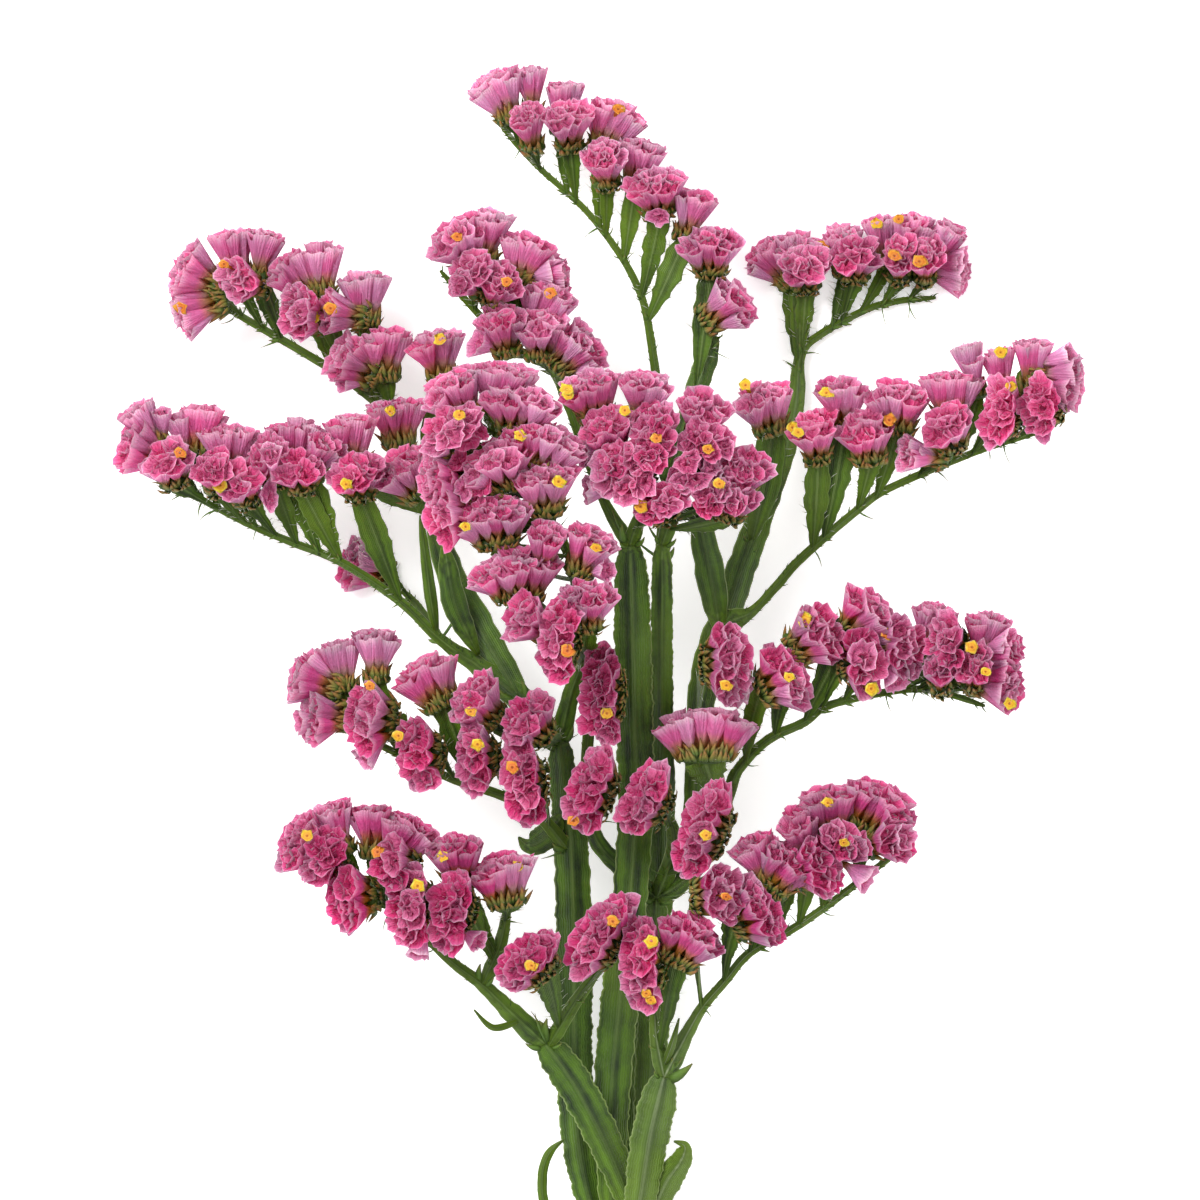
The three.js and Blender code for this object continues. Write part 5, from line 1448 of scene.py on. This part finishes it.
def ply(phase):
    """A cord of radius PLY_RADIUS round a helix. The twine's middle line is an ellipse that moves one
    thickness along the stems for each turn; the ply circles that line once every PLY_TURN mm."""
    turn = np.linspace(0, 2 * np.pi * WRAPS, STEPS_A_TURN * WRAPS + 1)
    middle = (tie_low + tie_high) / 2
    radius = np.array(TIE_HALF) + TWINE / 2
    along = (turn / (2 * np.pi) - WRAPS / 2) * (TWINE * SNUG) * (1 - 1 / (2 * WRAPS))
    centre = np.stack([middle[0] + radius[0] * np.cos(turn), middle[1] + along,
                       middle[2] + radius[1] * np.sin(turn)], -1)
    way = unit(np.gradient(centre, axis=0))
    outward = unit(np.stack([np.cos(turn), np.zeros(len(turn)), np.sin(turn)], -1))
    sideways = np.cross(way, outward)
    spin = (2 * np.pi * travelled(centre) / PLY_TURN + phase)[:, None]
    line = centre + (TWINE / 2 - PLY_RADIUS) * (outward * np.cos(spin) + sideways * np.sin(spin))
    way = unit(np.gradient(line, axis=0))
    first = unit(outward - way * np.sum(outward * way, 1, keepdims=True))
    second = np.cross(way, first)
    around = 2 * np.pi * np.arange(PLY_SIDES) / PLY_SIDES
    points = line[:, None] + PLY_RADIUS * (first[:, None] * np.cos(around)[None, :, None]
                                           + second[:, None] * np.sin(around)[None, :, None])
    uv = closed_uv(np.linspace(0, 1, PLY_SIDES + 1), travelled(line) / 10, 0.0)
    return points.reshape(-1, 3), closed_faces(len(line), PLY_SIDES), uv, {}

make_piece("tie_twine", *gather([ply(phase) for phase in (0, np.pi)])[:3], twine_finish(), "twine", "tie")

# %% [markdown]
# ## The studio
# The bunch lies on a pale table and we look straight down on it with a long lens, so that near and far
# flowers keep their size. Soft light comes from all round, with a broad lamp over the upper left.

# %% The table
TABLE_GLOW, TABLE_HALF = 0.36, 3.0
PAPER_WHITE, WHITE = (0.93, 0.93, 0.93, 1), (1, 1, 1, 1)

def table_finish():
    """Matt white that glows a little, so it stays pale under the flowers."""
    material = new_material("pale_table")
    face = node(material, "BsdfPrincipled", {"Base Color": PAPER_WHITE, "Roughness": 0.9,
                                             "Emission Color": WHITE, "Emission Strength": TABLE_GLOW})
    node(material, "OutputMaterial", {"Surface": face.outputs[0]})
    return material

plane = bpy.data.meshes.new("table")
corners = [(x * TABLE_HALF, y * TABLE_HALF, 0) for x, y in ((-1, -1), (1, -1), (1, 1), (-1, 1))]
plane.from_pydata(corners, [], [(0, 1, 2, 3)])
plane.materials.append(table_finish())
table = bpy.data.objects.new("table", plane)
bpy.context.collection.objects.link(table)
print("a table of", 2 * TABLE_HALF, "m")

# %% Light from all round, and two lamps
SKY_STRENGTH = 0.98
world = bpy.data.worlds.new("studio")
world.use_nodes = True
sky = world.node_tree.nodes["Background"]
sky.inputs["Color"].default_value = WHITE
sky.inputs["Strength"].default_value = SKY_STRENGTH
bpy.context.scene.world = world

def soft_lamp(name, place, size, power):
    """A square area lamp that looks at the bunch's middle."""
    data = bpy.data.lights.new(name, "AREA")
    data.size = size
    data.energy = power
    lamp = bpy.data.objects.new(name, data)
    lamp.location = place
    lamp.rotation_euler = (-lamp.location).to_track_quat("-Z", "Y").to_euler()
    bpy.context.collection.objects.link(lamp)

soft_lamp("key_lamp", (-1.1, 1.0, 1.8), 1.2, 58)
soft_lamp("fill_lamp", (1.4, -0.6, 1.8), 2.0, 15)
print("two lamps in a sky of strength", SKY_STRENGTH)

# %% The camera
VIEW_DISTANCE, CLIP_END = 3.6, 20
SENSOR = 36.0
MIDDLE_HEIGHT = 45.0
aim = on_board([BOARD_SIDE / 2, BOARD_SIDE / 2, MIDDLE_HEIGHT], SHIFT) * MM
lens = bpy.data.cameras.new("camera")
lens.sensor_width = SENSOR
lens.lens = SENSOR * VIEW_DISTANCE / (BOARD_SIDE * SQUARE * MM)
lens.clip_end = CLIP_END
camera = bpy.data.objects.new("camera", lens)
camera.location = (aim[0], aim[1], aim[2] + VIEW_DISTANCE)
bpy.context.collection.objects.link(camera)
bpy.context.scene.camera = camera
bpy.context.scene.view_settings.view_transform = "Standard"
print("camera over", aim.round(4), "lens", round(lens.lens))
